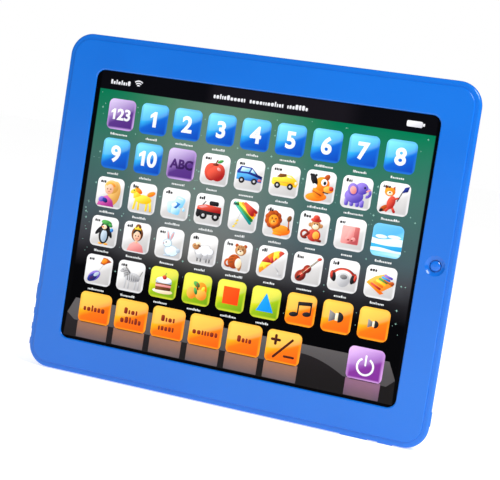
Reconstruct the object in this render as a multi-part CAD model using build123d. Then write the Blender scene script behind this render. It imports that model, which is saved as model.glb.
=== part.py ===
from build123d import *
import math
import os

# A child's toy tablet standing upright, screen towards -Y, in millimetres.
# X is across the screen, Y runs from the screen into the case, Z is up.

# ---- driving dimensions ----
CASE_WIDTH = 240.0
CASE_HEIGHT = 194.0
CASE_CORNER = 13.0
WINDOW_WIDTH = 201.3
WINDOW_HEIGHT = 155.2
WINDOW_CORNER = 5.0
RIB_PROUD = 0.4
CASE_DEPTH = 22.0
FOOT_PROUD = 1.0
SIDE_TAPER = 24.0
WALL = 2.0

# ---- depths, front to back ----
FRONT_Y = -(CASE_DEPTH + FOOT_PROUD) / 2
BACK_Y = FRONT_Y + CASE_DEPTH
FOOT_Y = BACK_Y + FOOT_PROUD
LEDGE_Y = FRONT_Y + 0.8
PARTING_Y = FRONT_Y + 3.0
BEZEL_BACK_Y = FRONT_Y + WALL
TRAY_FLOOR_Y = FRONT_Y + 1.9
TRAY_BACK_Y = FRONT_Y + 3.4
COVER_INNER_Y = BACK_Y - WALL
SPLIT_Y = -2.0

# ---- heights ----
CENTRE_Z = RIB_PROUD + CASE_HEIGHT / 2
BOTTOM_Z = RIB_PROUD

# ---- screen laminate ----
OVERLAY_THICK = 0.4
FILM_THICK = 0.2
SPACER_THICK = 0.3
LAMINATE_GAP = 0.15
KEY_PITCH_X = 20.53
KEY_PITCH_Z = 22.35
TOP_ROW_Z = CENTRE_Z + 53.7
DOCK_Z = CENTRE_Z - 57.7
DOCK_PITCH = 23.06
DOCK_FIRST_X = -80.8
POWER_KEY_X = 81.2

# ---- home button ----
BUTTON_X = 109.7
BUTTON_Z = CENTRE_Z + 0.3
DISH_RADIUS = 5.4
CAP_RADIUS = 2.75
CAP_HOLE_RADIUS = 3.25

# ---- battery compartment and door ----
CELL_RADIUS = 7.15
CELL_LENGTH = 50.5
CELL_PITCH = 15.2
CELL_Y = 1.2
TUB_WIDTH = 57.4
TUB_HEIGHT = 46.4
TUB_WALL = 1.8
TUB_FLOOR_Y = -6.2
TUB_OUTER_Y = -7.6
DOOR_WIDTH = 66.0
DOOR_HEIGHT = 54.0
DOOR_THICK = 1.8
DOOR_BOTTOM_Z = 30.5
DOOR_GAP = 0.3
DOOR_CENTRE_Z = DOOR_BOTTOM_Z + DOOR_HEIGHT / 2
TAB_PAD_Y = 7.0
DOOR_SCREW_Z = DOOR_BOTTOM_Z + 58.0
HOOK_X = 18.0
HOOK_WIDTH = 10.0

# ---- speaker and boards ----
SPEAKER_X = -60.0
SPEAKER_Z = 132.0
SPEAKER_RADIUS = 20.0
SPEAKER_SEAT_Y = 5.5
BOARD_X = 62.0
BOARD_Z = 140.0
BOARD_WIDTH = 72.0
BOARD_HEIGHT = 46.0
BOARD_FRONT_Y = 1.4
BOARD_THICK = 1.6
TAIL_X = 62.0
TAIL_WIDTH = 24.0
BUTTON_BOARD_Y = -4.9

CASE_SCREWS = [(x, CENTRE_Z + z) for x in (-104, -36, 36, 104) for z in (-81, 81)]
FEET = [(x, CENTRE_Z + z) for x in (-88, 88) for z in (-68, 68)]
BOARD_HOLES = [(BOARD_X + x, BOARD_Z + z) for x in (-32, 32) for z in (-19, 19)]
BUTTON_HOLES = [(BUTTON_X, BUTTON_Z - 10.0), (BUTTON_X, BUTTON_Z + 10.0)]
CELL_ROWS = [DOOR_CENTRE_Z + CELL_PITCH * k for k in (-1, 0, 1)]


# ---- helpers ----
def at(y):
    """Working plane at depth y, with X across and Z up."""
    return Plane(origin=(0, y, 0), x_dir=(1, 0, 0), z_dir=(0, -1, 0))


def slab(outline, front, back):
    return extrude(at(back) * outline, amount=back - front)


def disc(x, z, radius, front, back):
    return slab(Pos(x, z) * Circle(radius), front, back)


def ring(x, z, outer, inner, front, back):
    return slab(Pos(x, z) * (Circle(outer) - Circle(inner)), front, back)


def block(x0, x1, y0, y1, z0, z1):
    middle = Pos((x0 + x1) / 2, (y0 + y1) / 2, (z0 + z1) / 2)
    return middle * Box(x1 - x0, y1 - y0, z1 - z0)


def turned(profile, x, z):
    """Solid turned about a line along Y through (x, z); profile points are (radius, y)."""
    face = make_face(Polyline(*profile, close=True))
    return Pos(x, 0, z) * revolve(face, Axis.Y, 360)


def edges_at(solid, y):
    return solid.edges().filter_by(lambda edge: abs(edge.bounding_box().min.Y - y) < 0.01
                                   and abs(edge.bounding_box().max.Y - y) < 0.01)


def case_outline(inset):
    return Pos(0, CENTRE_Z) * RectangleRounded(
        CASE_WIDTH - 2 * inset, CASE_HEIGHT - 2 * inset, CASE_CORNER - inset)


def window_outline(grow):
    return Pos(0, CENTRE_Z) * RectangleRounded(
        WINDOW_WIDTH + 2 * grow, WINDOW_HEIGHT + 2 * grow, WINDOW_CORNER + grow)


def tapered_case(inset, front, back, taper):
    """Body that narrows towards the back by the taper angle."""
    shrink = (back - front) * math.tan(math.radians(taper))
    sections = [at(front) * case_outline(inset), at(back) * case_outline(inset + shrink)]
    return loft(sections, ruled=True)


def along(section_radius, points, first, last):
    """Round wire through the points, leaving along first and arriving along last."""
    path = Spline(*points, tangents=[first, last])
    start = Plane(origin=points[0], z_dir=first)
    return sweep(start * Circle(section_radius), path=path)


def key_centres():
    rows = [TOP_ROW_Z - KEY_PITCH_Z * row for row in range(5)]
    keys = [(KEY_PITCH_X * (column - 4), z) for z in rows for column in range(9)]
    keys += [(DOCK_FIRST_X + DOCK_PITCH * k, DOCK_Z) for k in range(6)]
    keys.append((POWER_KEY_X, DOCK_Z))
    return keys


def rib_windows(front, back):
    """Boxes that pick out the grip ribs around the lower corners."""
    reach = CASE_WIDTH / 2 + 2
    left = [(38, 47), (29.2, 32.8), (20.2, 23.8), (11.4, 15.0)]
    boxes = [block(-reach, -reach + 12, front, back, BOTTOM_Z + low, BOTTOM_Z + high)
             for low, high in left]
    boxes.append(block(reach - 12, reach, front, back, BOTTOM_Z + 14.0, BOTTOM_Z + 21.5))
    boxes += [block(low, high, front, back, 0, 12) for low, high in ((73, 88), (94, 102))]
    return boxes


# ---- case ----
def make_front_bezel():
    rim = slab(case_outline(0), LEDGE_Y, PARTING_Y)
    rim = fillet(edges_at(rim, LEDGE_Y), 1.6)
    rib_ring = slab(case_outline(-RIB_PROUD), LEDGE_Y + 0.5, PARTING_Y)
    rib_ring = fillet(edges_at(rib_ring, LEDGE_Y + 0.5), 0.9)
    for box in rib_windows(LEDGE_Y, PARTING_Y):
        rim += rib_ring & box
    plateau = slab(case_outline(3.2), FRONT_Y, LEDGE_Y + 0.2)
    body = rim + plateau
    body = fillet(edges_at(body, FRONT_Y), 0.7)
    body -= slab(case_outline(2.4), BEZEL_BACK_Y, PARTING_Y)
    body += slab(case_outline(3.5) - case_outline(4.7), BEZEL_BACK_Y, PARTING_Y + 2.0)
    body += slab(window_outline(1.6), BEZEL_BACK_Y, TRAY_BACK_Y)
    body -= slab(window_outline(0), FRONT_Y, TRAY_FLOOR_Y)
    window_edges = edges_at(body, FRONT_Y).filter_by(
        lambda edge: abs(edge.center().X) < WINDOW_WIDTH / 2 + 0.1
        and abs(edge.center().Z - CENTRE_Z) < WINDOW_HEIGHT / 2 + 0.1)
    body = fillet(window_edges, 0.75)
    tail_z = CENTRE_Z + WINDOW_HEIGHT / 2 - 1.2
    body -= block(TAIL_X - TAIL_WIDTH / 2 - 1, TAIL_X + TAIL_WIDTH / 2 + 1,
                  TRAY_FLOOR_Y - 0.1, TRAY_BACK_Y, tail_z - 0.9, tail_z + 0.9)
    for x, z in CASE_SCREWS:
        body += disc(x, z, 3.5, BEZEL_BACK_Y, SPLIT_Y)
        body -= disc(x, z, 1.5, PARTING_Y, SPLIT_Y)
    for x, z in BUTTON_HOLES:
        body += disc(x, z, 2.2, BEZEL_BACK_Y, BUTTON_BOARD_Y)
        body -= disc(x, z, 0.8, PARTING_Y - 0.3, BUTTON_BOARD_Y)
    dish = turned([(0, FRONT_Y - 1), (DISH_RADIUS + 0.9, FRONT_Y - 1), (DISH_RADIUS, FRONT_Y),
                   (DISH_RADIUS - 0.7, FRONT_Y + 0.55), (CAP_HOLE_RADIUS + 0.8, FRONT_Y + 0.95),
                   (CAP_HOLE_RADIUS, FRONT_Y + 1.05), (0, FRONT_Y + 1.05)], BUTTON_X, BUTTON_Z)
    body -= dish
    body -= disc(BUTTON_X, BUTTON_Z, CAP_HOLE_RADIUS, FRONT_Y, BEZEL_BACK_Y)
    return body


def door_outline(grow):
    plate = Pos(0, DOOR_CENTRE_Z) * RectangleRounded(
        DOOR_WIDTH + 2 * grow, DOOR_HEIGHT + 2 * grow, 3 + grow)
    return plate


def screw_tab_outline(grow):
    top = DOOR_SCREW_Z + 5.0
    bottom = DOOR_BOTTOM_Z + DOOR_HEIGHT - 5.0
    height = top - bottom + grow
    return Pos(0, bottom + height / 2) * RectangleRounded(15 + 2 * grow, height, 3 + grow)


def grille_holes():
    """Sound holes on a hexagonal grid inside the speaker's cone."""
    holes = []
    pitch = 4.4
    for row in range(-4, 5):
        for column in range(-4, 5):
            x = pitch * (column + 0.5 * (row % 2))
            z = pitch * row * math.sqrt(3) / 2
            if math.hypot(x, z) < 15.5:
                holes.append(Pos(SPEAKER_X + x, SPEAKER_Z + z) * Circle(1.2))
    return Sketch() + holes


def make_rear_cover():
    body = tapered_case(0, PARTING_Y, BACK_Y, SIDE_TAPER)
    rib_ring = tapered_case(-RIB_PROUD, PARTING_Y, PARTING_Y + 8, 31)
    for box in rib_windows(PARTING_Y, PARTING_Y + 8):
        body += rib_ring & box
    body = fillet(edges_at(body, BACK_Y), 5.0)
    body -= tapered_case(2.4, PARTING_Y, COVER_INNER_Y, SIDE_TAPER)
    # battery tub with a thick frame around the door
    half_w = TUB_WIDTH / 2
    low = DOOR_CENTRE_Z - TUB_HEIGHT / 2
    high = DOOR_CENTRE_Z + TUB_HEIGHT / 2
    body += block(-half_w - TUB_WALL, half_w + TUB_WALL, TUB_OUTER_Y, COVER_INNER_Y,
                  low - TUB_WALL, high + TUB_WALL)
    body += slab(door_outline(4.5), 6.4, COVER_INNER_Y)
    body += slab(screw_tab_outline(3.0), 4.9, COVER_INNER_Y)
    body += disc(0, DOOR_SCREW_Z, 4.2, 0.0, 5.0)
    body -= block(-half_w, half_w, TUB_FLOOR_Y, BACK_Y, low, high)
    body -= slab(door_outline(DOOR_GAP), BACK_Y - DOOR_THICK - 0.1, BACK_Y)
    body -= slab(screw_tab_outline(DOOR_GAP), TAB_PAD_Y - 0.1, BACK_Y)
    body -= disc(0, DOOR_SCREW_Z, 2.7, 4.2, TAB_PAD_Y)
    body -= disc(0, DOOR_SCREW_Z, 1.7, 1.2, TAB_PAD_Y)
    for x in (-HOOK_X, HOOK_X):
        reach = HOOK_WIDTH / 2 + 0.6
        body -= block(x - reach, x + reach, 5.8, COVER_INNER_Y + 0.1,
                      DOOR_BOTTOM_Z - 3.1, DOOR_BOTTOM_Z + 4.6)
    top = DOOR_BOTTOM_Z + DOOR_HEIGHT
    body -= Pos(20, BACK_Y + 1.6, top + 1.5) * Rot(0, 90, 0) * Cylinder(3.2, 14)
    for k in (-0.5, 0.5):
        z = DOOR_CENTRE_Z + CELL_PITCH * k
        body += block(-20, 20, TUB_FLOOR_Y, TUB_FLOOR_Y + 2.4, z - 0.7, z + 0.7)
    for side, z in ((-1, CELL_ROWS[0]), (1, CELL_ROWS[2])):
        low_x, high_x = sorted((side * (half_w - 0.1), side * (half_w + TUB_WALL + 0.1)))
        body -= block(low_x, high_x, -1.1, 0.5, z - 1.7, z + 1.7)
    # screw bosses with deep counterbores
    for x, z in CASE_SCREWS:
        body += disc(x, z, 4.5, SPLIT_Y, COVER_INNER_Y)
        body -= disc(x, z, 1.7, SPLIT_Y, BACK_Y)
        body -= disc(x, z, 3.1, 0.0, BACK_Y)
    for x, z in BOARD_HOLES:
        body += disc(x, z, 2.6, BOARD_FRONT_Y + BOARD_THICK, COVER_INNER_Y)
        body -= disc(x, z, 1.05, BOARD_FRONT_Y + BOARD_THICK, COVER_INNER_Y + 0.4)
    # speaker seat and grille
    body += ring(SPEAKER_X, SPEAKER_Z, SPEAKER_RADIUS, SPEAKER_RADIUS - 3,
                 SPEAKER_SEAT_Y, COVER_INNER_Y)
    body += ring(SPEAKER_X, SPEAKER_Z, SPEAKER_RADIUS + 1.6, SPEAKER_RADIUS + 0.3,
                 SPEAKER_SEAT_Y - 1.4, COVER_INNER_Y)
    for x, z in speaker_screw_places():
        body += disc(x, z, 2.3, SPEAKER_SEAT_Y - 1.8, COVER_INNER_Y)
        body -= disc(x, z, 1.0, SPEAKER_SEAT_Y - 1.8, COVER_INNER_Y)
    body -= ring(SPEAKER_X, SPEAKER_Z, SPEAKER_RADIUS + 0.3, SPEAKER_RADIUS - 0.1,
                 SPEAKER_SEAT_Y - 1.8, SPEAKER_SEAT_Y)
    body -= slab(grille_holes(), COVER_INNER_Y, BACK_Y)
    for x, z in FEET:
        body -= disc(x, z, 6.2, BACK_Y - 0.5, BACK_Y)
    return body


def make_rubber_feet():
    feet = []
    for x, z in FEET:
        foot = disc(x, z, 6.0, BACK_Y - 0.5, FOOT_Y)
        feet.append(fillet(edges_at(foot, FOOT_Y), 0.5))
    return feet


def make_screw(x, z, seat, head_radius, head_height, shank_radius, tip, towards=1):
    """Pan-head screw along Y; towards is +1 when the head is at the back of its shank."""
    head = [(0, seat), (head_radius, seat), (head_radius, seat + towards * head_height * 0.6),
            (head_radius * 0.72, seat + towards * head_height), (0, seat + towards * head_height)]
    shank = [(0, seat), (shank_radius, seat), (shank_radius, tip + towards * shank_radius),
             (0, tip)]
    body = turned(head, x, z) + turned(shank, x, z)
    top = seat + towards * head_height
    low, high = sorted((top, top - towards * 0.7))
    arm = head_radius * 0.62
    body -= block(x - arm, x + arm, low, high, z - 0.35, z + 0.35)
    body -= block(x - 0.35, x + 0.35, low, high, z - arm, z + arm)
    return body


def make_case_screws():
    return [make_screw(x, z, 0.0, 2.8, 2.0, 1.45, -7.5) for x, z in CASE_SCREWS]


# ---- printed screen ----
def make_printed_overlay():
    return slab(window_outline(-LAMINATE_GAP), LEDGE_Y, LEDGE_Y + OVERLAY_THICK)


def make_membrane_top_film():
    front = LEDGE_Y + OVERLAY_THICK
    return slab(window_outline(-LAMINATE_GAP), front, front + FILM_THICK)


def make_membrane_spacer():
    front = LEDGE_Y + OVERLAY_THICK + FILM_THICK
    outline = window_outline(-LAMINATE_GAP)
    outline -= [Pos(x, z) * Circle(5.5) for x, z in key_centres()]
    outline -= tail_notch()
    return slab(outline, front, front + SPACER_THICK)


def tail_notch():
    top = CENTRE_Z + WINDOW_HEIGHT / 2
    return Pos(TAIL_X, top) * Rectangle(TAIL_WIDTH + 2, 5.2)


def make_membrane_bottom_film():
    front = TRAY_FLOOR_Y - FILM_THICK
    film = slab(window_outline(-LAMINATE_GAP) - tail_notch(), front, TRAY_FLOOR_Y)
    middle = front + FILM_THICK / 2
    tail_z = CENTRE_Z + WINDOW_HEIGHT / 2 - 1.2
    path = FilletPolyline((TAIL_X, middle, tail_z - 1.6), (TAIL_X, middle, tail_z),
                          (TAIL_X, 0.1, tail_z), (TAIL_X, 0.1, BOARD_Z + 18.0), radius=0.8)
    start = Plane(origin=(TAIL_X, middle, tail_z - 1.6), x_dir=(1, 0, 0), z_dir=(0, 0, 1))
    tail = sweep(start * Rectangle(TAIL_WIDTH, FILM_THICK), path=path)
    return film + tail


# ---- home button ----
def make_home_button():
    profile = [(0, FRONT_Y + 0.15), (1.4, FRONT_Y + 0.2), (2.3, FRONT_Y + 0.36),
               (CAP_RADIUS, FRONT_Y + 0.75), (CAP_RADIUS, BEZEL_BACK_Y + 0.1),
               (4.6, BEZEL_BACK_Y + 0.1), (4.6, BEZEL_BACK_Y + 1.0), (2.0, BEZEL_BACK_Y + 1.0),
               (2.0, BUTTON_BOARD_Y - 2.05), (0, BUTTON_BOARD_Y - 2.05)]
    return turned(profile, BUTTON_X, BUTTON_Z)


def make_button_dome():
    back = BUTTON_BOARD_Y
    profile = [(0, back - 2.0), (2.6, back - 2.0), (2.9, back - 1.2), (4.0, back - 0.7),
               (4.6, back - 0.6), (4.6, back), (3.8, back), (3.5, back - 0.3),
               (2.2, back - 0.9), (2.0, back - 1.3), (0, back - 1.3)]
    return turned(profile, BUTTON_X, BUTTON_Z)


def make_button_board():
    outline = Pos(BUTTON_X, BUTTON_Z) * RectangleRounded(10, 27, 1)
    outline -= [Pos(x, z) * Circle(1.1) for x, z in BUTTON_HOLES]
    return slab(outline, BUTTON_BOARD_Y, BUTTON_BOARD_Y + 1.6)


def make_button_board_screws():
    return [make_screw(x, z, BUTTON_BOARD_Y + 1.6, 2.0, 1.2, 0.75, PARTING_Y)
            for x, z in BUTTON_HOLES]


# ---- electronics ----
def make_main_board():
    outline = Pos(BOARD_X, BOARD_Z) * RectangleRounded(BOARD_WIDTH, BOARD_HEIGHT, 1.5)
    outline -= [Pos(x, z) * Circle(1.2) for x, z in BOARD_HOLES]
    return slab(outline, BOARD_FRONT_Y, BOARD_FRONT_Y + BOARD_THICK)


def make_main_board_screws():
    return [make_screw(x, z, BOARD_FRONT_Y, 2.2, 1.3, 1.0, COVER_INNER_Y - 0.5, towards=-1)
            for x, z in BOARD_HOLES]


def make_main_chip():
    front = BOARD_FRONT_Y
    profile = [(0, front - 1.7), (3.0, front - 1.55), (5.4, front - 1.0), (6.8, front - 0.3),
               (7.0, front), (0, front)]
    return turned(profile, BOARD_X - 6, BOARD_Z - 2)


def make_board_capacitors():
    cans = []
    for x, z in ((BOARD_X - 24, BOARD_Z + 12), (BOARD_X - 24, BOARD_Z + 4)):
        can = disc(x, z, 3.0, BOARD_FRONT_Y - 6.5, BOARD_FRONT_Y)
        cans.append(fillet(edges_at(can, BOARD_FRONT_Y - 6.5), 0.4))
    return cans


def make_board_resonator():
    can = slab(Pos(BOARD_X + 14, BOARD_Z - 2) * RectangleRounded(10.5, 4.4, 2.0),
               BOARD_FRONT_Y - 3.2, BOARD_FRONT_Y - 0.5)
    can = fillet(edges_at(can, BOARD_FRONT_Y - 3.2), 0.4)
    base = slab(Pos(BOARD_X + 14, BOARD_Z - 2) * RectangleRounded(11.2, 5.1, 2.3),
                BOARD_FRONT_Y - 0.5, BOARD_FRONT_Y)
    return can + base


def make_board_transistor():
    x = BOARD_X + 27
    z = BOARD_Z + 4
    front = BOARD_FRONT_Y - 7.0
    body = Pos(x, z - 1.1) * (Circle(2.3) & (Pos(0, 0.7) * Rectangle(6, 3.4)))
    body = slab(body, front, front + 4.6)
    legs = [block(x + dx - 0.25, x + dx + 0.25, front + 4.5, BOARD_FRONT_Y, z - 1.0, z - 0.5)
            for dx in (-1.3, 0, 1.3)]
    return body + legs


def make_board_resistors():
    """Ten identical chip resistors in two short rows."""
    places = [(BOARD_X + 6 + 4.2 * k, BOARD_Z - 12) for k in range(5)]
    places += [(BOARD_X - 22 + 4.2 * k, BOARD_Z - 14) for k in range(5)]
    return [block(x - 0.7, x + 0.7, BOARD_FRONT_Y - 0.6, BOARD_FRONT_Y, z - 1.3, z + 1.3)
            for x, z in places]


def make_tail_connector():
    z = BOARD_Z + 18.5
    body = block(TAIL_X - 15, TAIL_X + 15, BOARD_FRONT_Y - 2.6, BOARD_FRONT_Y, z - 2.5, z + 2.5)
    body = fillet(body.edges().filter_by(Axis.X), 0.3)
    return body - block(TAIL_X - 12.4, TAIL_X + 12.4, -0.05, 0.25, z - 1.0, z + 3)


# ---- speaker ----
def speaker_screw_places():
    reach = SPEAKER_RADIUS + 2.6
    return [(SPEAKER_X + reach * math.cos(math.radians(a)),
             SPEAKER_Z + reach * math.sin(math.radians(a))) for a in (30, 150, 270)]


def make_speaker_gasket():
    return ring(SPEAKER_X, SPEAKER_Z, SPEAKER_RADIUS - 0.3, SPEAKER_RADIUS - 3,
                SPEAKER_SEAT_Y - 0.8, SPEAKER_SEAT_Y)


def make_speaker_frame():
    back = SPEAKER_SEAT_Y - 0.8
    profile = [(SPEAKER_RADIUS, back), (SPEAKER_RADIUS, back - 1.0), (17.8, back - 1.0),
               (11.4, back - 5.0), (3.2, back - 5.0), (3.2, back - 4.3), (11.0, back - 4.3),
               (16.4, back - 1.0), (17.2, back - 0.6), (17.2, back)]
    basket = turned(profile, SPEAKER_X, SPEAKER_Z)
    for a in range(45, 360, 90):
        port = Pos(SPEAKER_X, 0, SPEAKER_Z) * Rot(0, a, 0) * Pos(14.2, back - 2.9, 0) * Box(4.6, 3.0, 9)
        basket -= port
    lug = block(SPEAKER_X + 15.9, SPEAKER_X + 18.5, back - 2.0, back - 1.0,
                SPEAKER_Z - 3.5, SPEAKER_Z + 3.5)
    return basket + lug


def make_speaker_magnet():
    front = SPEAKER_SEAT_Y - 9.8
    magnet = disc(SPEAKER_X, SPEAKER_Z, 9.5, front, front + 4.0)
    magnet = chamfer(edges_at(magnet, front), 0.5)
    return magnet + disc(SPEAKER_X, SPEAKER_Z, 2.4, front + 4.0, front + 5.5)


def make_speaker_cone():
    back = SPEAKER_SEAT_Y - 0.8
    cone = [(15.0, back - 0.6), (15.0, back - 0.95), (4.6, back - 2.95), (3.4, back - 2.95),
            (3.4, back - 3.7), (2.9, back - 3.7), (2.9, back - 2.6), (0, back - 2.1),
            (0, back - 1.8), (3.0, back - 2.2), (4.6, back - 2.6)]
    return turned(cone, SPEAKER_X, SPEAKER_Z)


def make_speaker_surround():
    back = SPEAKER_SEAT_Y - 0.8
    roll = [(14.6, back - 0.6), (14.6, back - 0.4), (15.2, back - 0.2), (16.2, back + 0.2),
            (16.9, back - 0.1), (17.1, back - 0.4), (16.6, back - 0.4), (16.2, back - 0.1),
            (15.2, back - 0.5)]
    return turned(roll, SPEAKER_X, SPEAKER_Z)


def make_speaker_screws():
    seat = SPEAKER_SEAT_Y - 1.8
    return [make_screw(x, z, seat, 3.3, 1.4, 0.95, COVER_INNER_Y - 0.4, towards=-1)
            for x, z in speaker_screw_places()]


# ---- batteries ----
def make_cell(z, direction):
    """Cell lying along X with its raised end towards direction."""
    shoulder = CELL_LENGTH / 2 - 1.2
    profile = [(0, -CELL_LENGTH / 2), (4.6, -CELL_LENGTH / 2), (4.6, -CELL_LENGTH / 2 + 0.2),
               (CELL_RADIUS - 0.6, -CELL_LENGTH / 2 + 0.2),
               (CELL_RADIUS, -CELL_LENGTH / 2 + 0.8), (CELL_RADIUS, shoulder - 0.5),
               (CELL_RADIUS - 0.5, shoulder), (2.7, shoulder), (2.7, shoulder + 1.0),
               (2.4, shoulder + 1.2), (0, shoulder + 1.2)]
    face = make_face(Polyline(*profile, close=True))
    cell = Rot(0, 0, -90 * direction) * revolve(face, Axis.Y, 360)
    return Pos(2.9 * direction, CELL_Y, z) * cell


def make_contact_plates():
    plates = []
    end = TUB_WIDTH / 2
    for side in (-1, 1):
        outer = side * (end - 0.1)
        inner = side * (end - 0.5)
        x0, x1 = sorted((outer, inner))
        for index, z in enumerate(CELL_ROWS):
            plates.append(block(x0, x1, -4.6, 6.6, z - 5.2, z + 5.2))
        low, high = ((0, 1) if side > 0 else (1, 2))
        link = block(x0, x1, -1.0, 3.4, CELL_ROWS[low] + 5.2, CELL_ROWS[high] - 5.2)
        joined = plates[-3 + low] + link + plates[-3 + high]
        lone_row = 2 if side > 0 else 0
        lug_x = sorted((side * (end - 0.5), side * (end + TUB_WALL + 0.5)))
        lug = block(*lug_x, CELL_Y - 1.7, CELL_Y - 1.3,
                    CELL_ROWS[lone_row] - 1.4, CELL_ROWS[lone_row] + 1.4)
        lone = plates[-3 + lone_row] + lug
        plates = plates[:-3] + [joined, lone]
    return plates


def make_contact_spring(z, side):
    """Conical coil standing on the contact plate, narrowing towards the cell."""
    height = 4.95
    path = Helix(pitch=1.4, height=height, radius=4.1, cone_angle=-18)
    start = Plane(origin=path @ 0, z_dir=path % 0)
    coil = sweep(start * Circle(0.35), path=path)
    turn = Rot(0, -90, 0) if side > 0 else Rot(0, 90, 0)
    return Pos(side * (TUB_WIDTH / 2 - 0.5 - 0.42), CELL_Y, z) * turn * coil


def cell_direction(index):
    return 1 if index % 2 == 0 else -1


def make_battery_springs():
    return [make_contact_spring(z, -cell_direction(k)) for k, z in enumerate(CELL_ROWS)]


def make_battery_door():
    body = slab(door_outline(0), BACK_Y - DOOR_THICK, BACK_Y)
    body += slab(screw_tab_outline(0), TAB_PAD_Y, BACK_Y)
    body = fillet(edges_at(body, BACK_Y), 0.3)
    for x in (-HOOK_X, HOOK_X):
        low = x - HOOK_WIDTH / 2
        high = x + HOOK_WIDTH / 2
        body += block(low, high, 6.9, BACK_Y - DOOR_THICK, DOOR_BOTTOM_Z, DOOR_BOTTOM_Z + 2)
        body += block(low, high, 6.9, 8.3, DOOR_BOTTOM_Z - 2.5, DOOR_BOTTOM_Z)
    body -= disc(0, DOOR_SCREW_Z, 3.1, 8.5, BACK_Y)
    body -= disc(0, DOOR_SCREW_Z, 1.7, TAB_PAD_Y, BACK_Y)
    for k in range(4):
        z = DOOR_BOTTOM_Z + DOOR_HEIGHT - 9 - 3.2 * k
        half = 11 - 2.4 * k
        body += fillet_bar(-half, half, z)
    return body


def fillet_bar(x0, x1, z):
    """Low grip bar on the outside of the door."""
    bar = block(x0, x1, BACK_Y - 0.2, BACK_Y + 0.5, z - 0.6, z + 0.6)
    return fillet(edges_at(bar, BACK_Y + 0.5), 0.3)


def make_battery_door_screw():
    return make_screw(0, DOOR_SCREW_Z, 8.5, 2.8, 1.6, 1.45, 2.5)


def make_battery_door_screw_ring():
    return ring(0, DOOR_SCREW_Z, 2.3, 1.48, 4.3, 5.0)


# ---- wiring ----
def make_battery_wire_red():
    x = TUB_WIDTH / 2 + TUB_WALL + 0.5
    y = CELL_Y - 1.5
    z = CELL_ROWS[2]
    end = (BOARD_X - 26, BOARD_FRONT_Y, BOARD_Z - 18)
    points = [(x, y, z), (x + 4, y - 0.4, z + 5), (end[0] - 0.6, y - 1.6, end[2] - 16),
              (end[0], y - 1.7, end[2] - 3), end]
    return along(0.6, points, (1, 0, 0), (0, 1, 0))


def make_battery_wire_black():
    x = -(TUB_WIDTH / 2 + TUB_WALL + 0.5)
    y = CELL_Y - 1.5
    z = CELL_ROWS[0]
    end = (BOARD_X - 32, BOARD_FRONT_Y, BOARD_Z - 10)
    points = [(x, y, z), (x - 3.4, y - 0.2, z + 6), (x - 3.6, y - 0.6, z + 40),
              (x + 6, y - 1.2, z + 60), (0, y - 1.4, z + 70), (end[0] - 6, y - 1.8, end[2] - 2),
              (end[0] - 0.6, y - 1.5, end[2]), end]
    return along(0.6, points, (-1, 0, 0), (0, 1, 0))


def make_speaker_wire(offset):
    start = (SPEAKER_X + 18.5, SPEAKER_SEAT_Y - 2.5, SPEAKER_Z + offset)
    end = (BOARD_X - 33.5, BOARD_FRONT_Y, BOARD_Z + 6 + offset)
    points = [start, (start[0] + 3, start[1] - 0.3, start[2] + 0.4),
              (-20.0, 0.4, SPEAKER_Z + 8 + offset), (6.0, -0.6, end[2] - 2),
              (end[0] - 4, -1.6, end[2]), (end[0] - 0.5, -1.0, end[2]), end]
    return along(0.6, points, (1, 0, 0), (0, 1, 0))


def make_button_wires():
    wires = []
    lie_y = -1.1
    for offset in (-1.5, 1.5):
        x = BUTTON_X + offset
        z = BUTTON_Z + 5
        end_x = BOARD_X + 30 + offset
        end_z = BOARD_Z - 10
        path = FilletPolyline((x, BUTTON_BOARD_Y + 1.6, z), (x, lie_y, z), (end_x, lie_y, end_z),
                              (end_x, BOARD_FRONT_Y, end_z), radius=1.1)
        start = Plane(origin=path @ 0, z_dir=(0, 1, 0))
        wires.append(sweep(start * Circle(0.5), path=path))
    return wires


def as_part(shape):
    """One compound per node, whether it is one solid or a group of identical ones."""
    if isinstance(shape, list):
        solids = [solid for item in shape for solid in item.solids()]
        return Compound(children=solids)
    solids = shape.solids()
    if len(solids) == 1:
        return solids[0]
    return Compound(children=list(solids))


NODES = {
    "front_bezel": make_front_bezel,
    "rear_cover": make_rear_cover,
    "rubber_feet": make_rubber_feet,
    "case_screws": make_case_screws,
    "printed_overlay": make_printed_overlay,
    "membrane_top_film": make_membrane_top_film,
    "membrane_spacer": make_membrane_spacer,
    "membrane_bottom_film": make_membrane_bottom_film,
    "home_button": make_home_button,
    "button_dome": make_button_dome,
    "button_board": make_button_board,
    "button_board_screws": make_button_board_screws,
    "button_wires": make_button_wires,
    "main_board": make_main_board,
    "main_board_screws": make_main_board_screws,
    "main_chip": make_main_chip,
    "board_capacitors": make_board_capacitors,
    "board_resonator": make_board_resonator,
    "board_transistor": make_board_transistor,
    "board_resistors": make_board_resistors,
    "tail_connector": make_tail_connector,
    "speaker_gasket": make_speaker_gasket,
    "speaker_frame": make_speaker_frame,
    "speaker_magnet": make_speaker_magnet,
    "speaker_cone": make_speaker_cone,
    "speaker_surround": make_speaker_surround,
    "speaker_screws": make_speaker_screws,
    "speaker_wire_red": lambda: make_speaker_wire(2.0),
    "speaker_wire_black": lambda: make_speaker_wire(-2.0),
    "battery_cell_1": lambda: make_cell(CELL_ROWS[0], cell_direction(0)),
    "battery_cell_2": lambda: make_cell(CELL_ROWS[1], cell_direction(1)),
    "battery_cell_3": lambda: make_cell(CELL_ROWS[2], cell_direction(2)),
    "battery_contact_plates": make_contact_plates,
    "battery_springs": make_battery_springs,
    "battery_wire_red": make_battery_wire_red,
    "battery_wire_black": make_battery_wire_black,
    "battery_door": make_battery_door,
    "battery_door_screw": make_battery_door_screw,
    "battery_door_screw_ring": make_battery_door_screw_ring,
}

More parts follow.
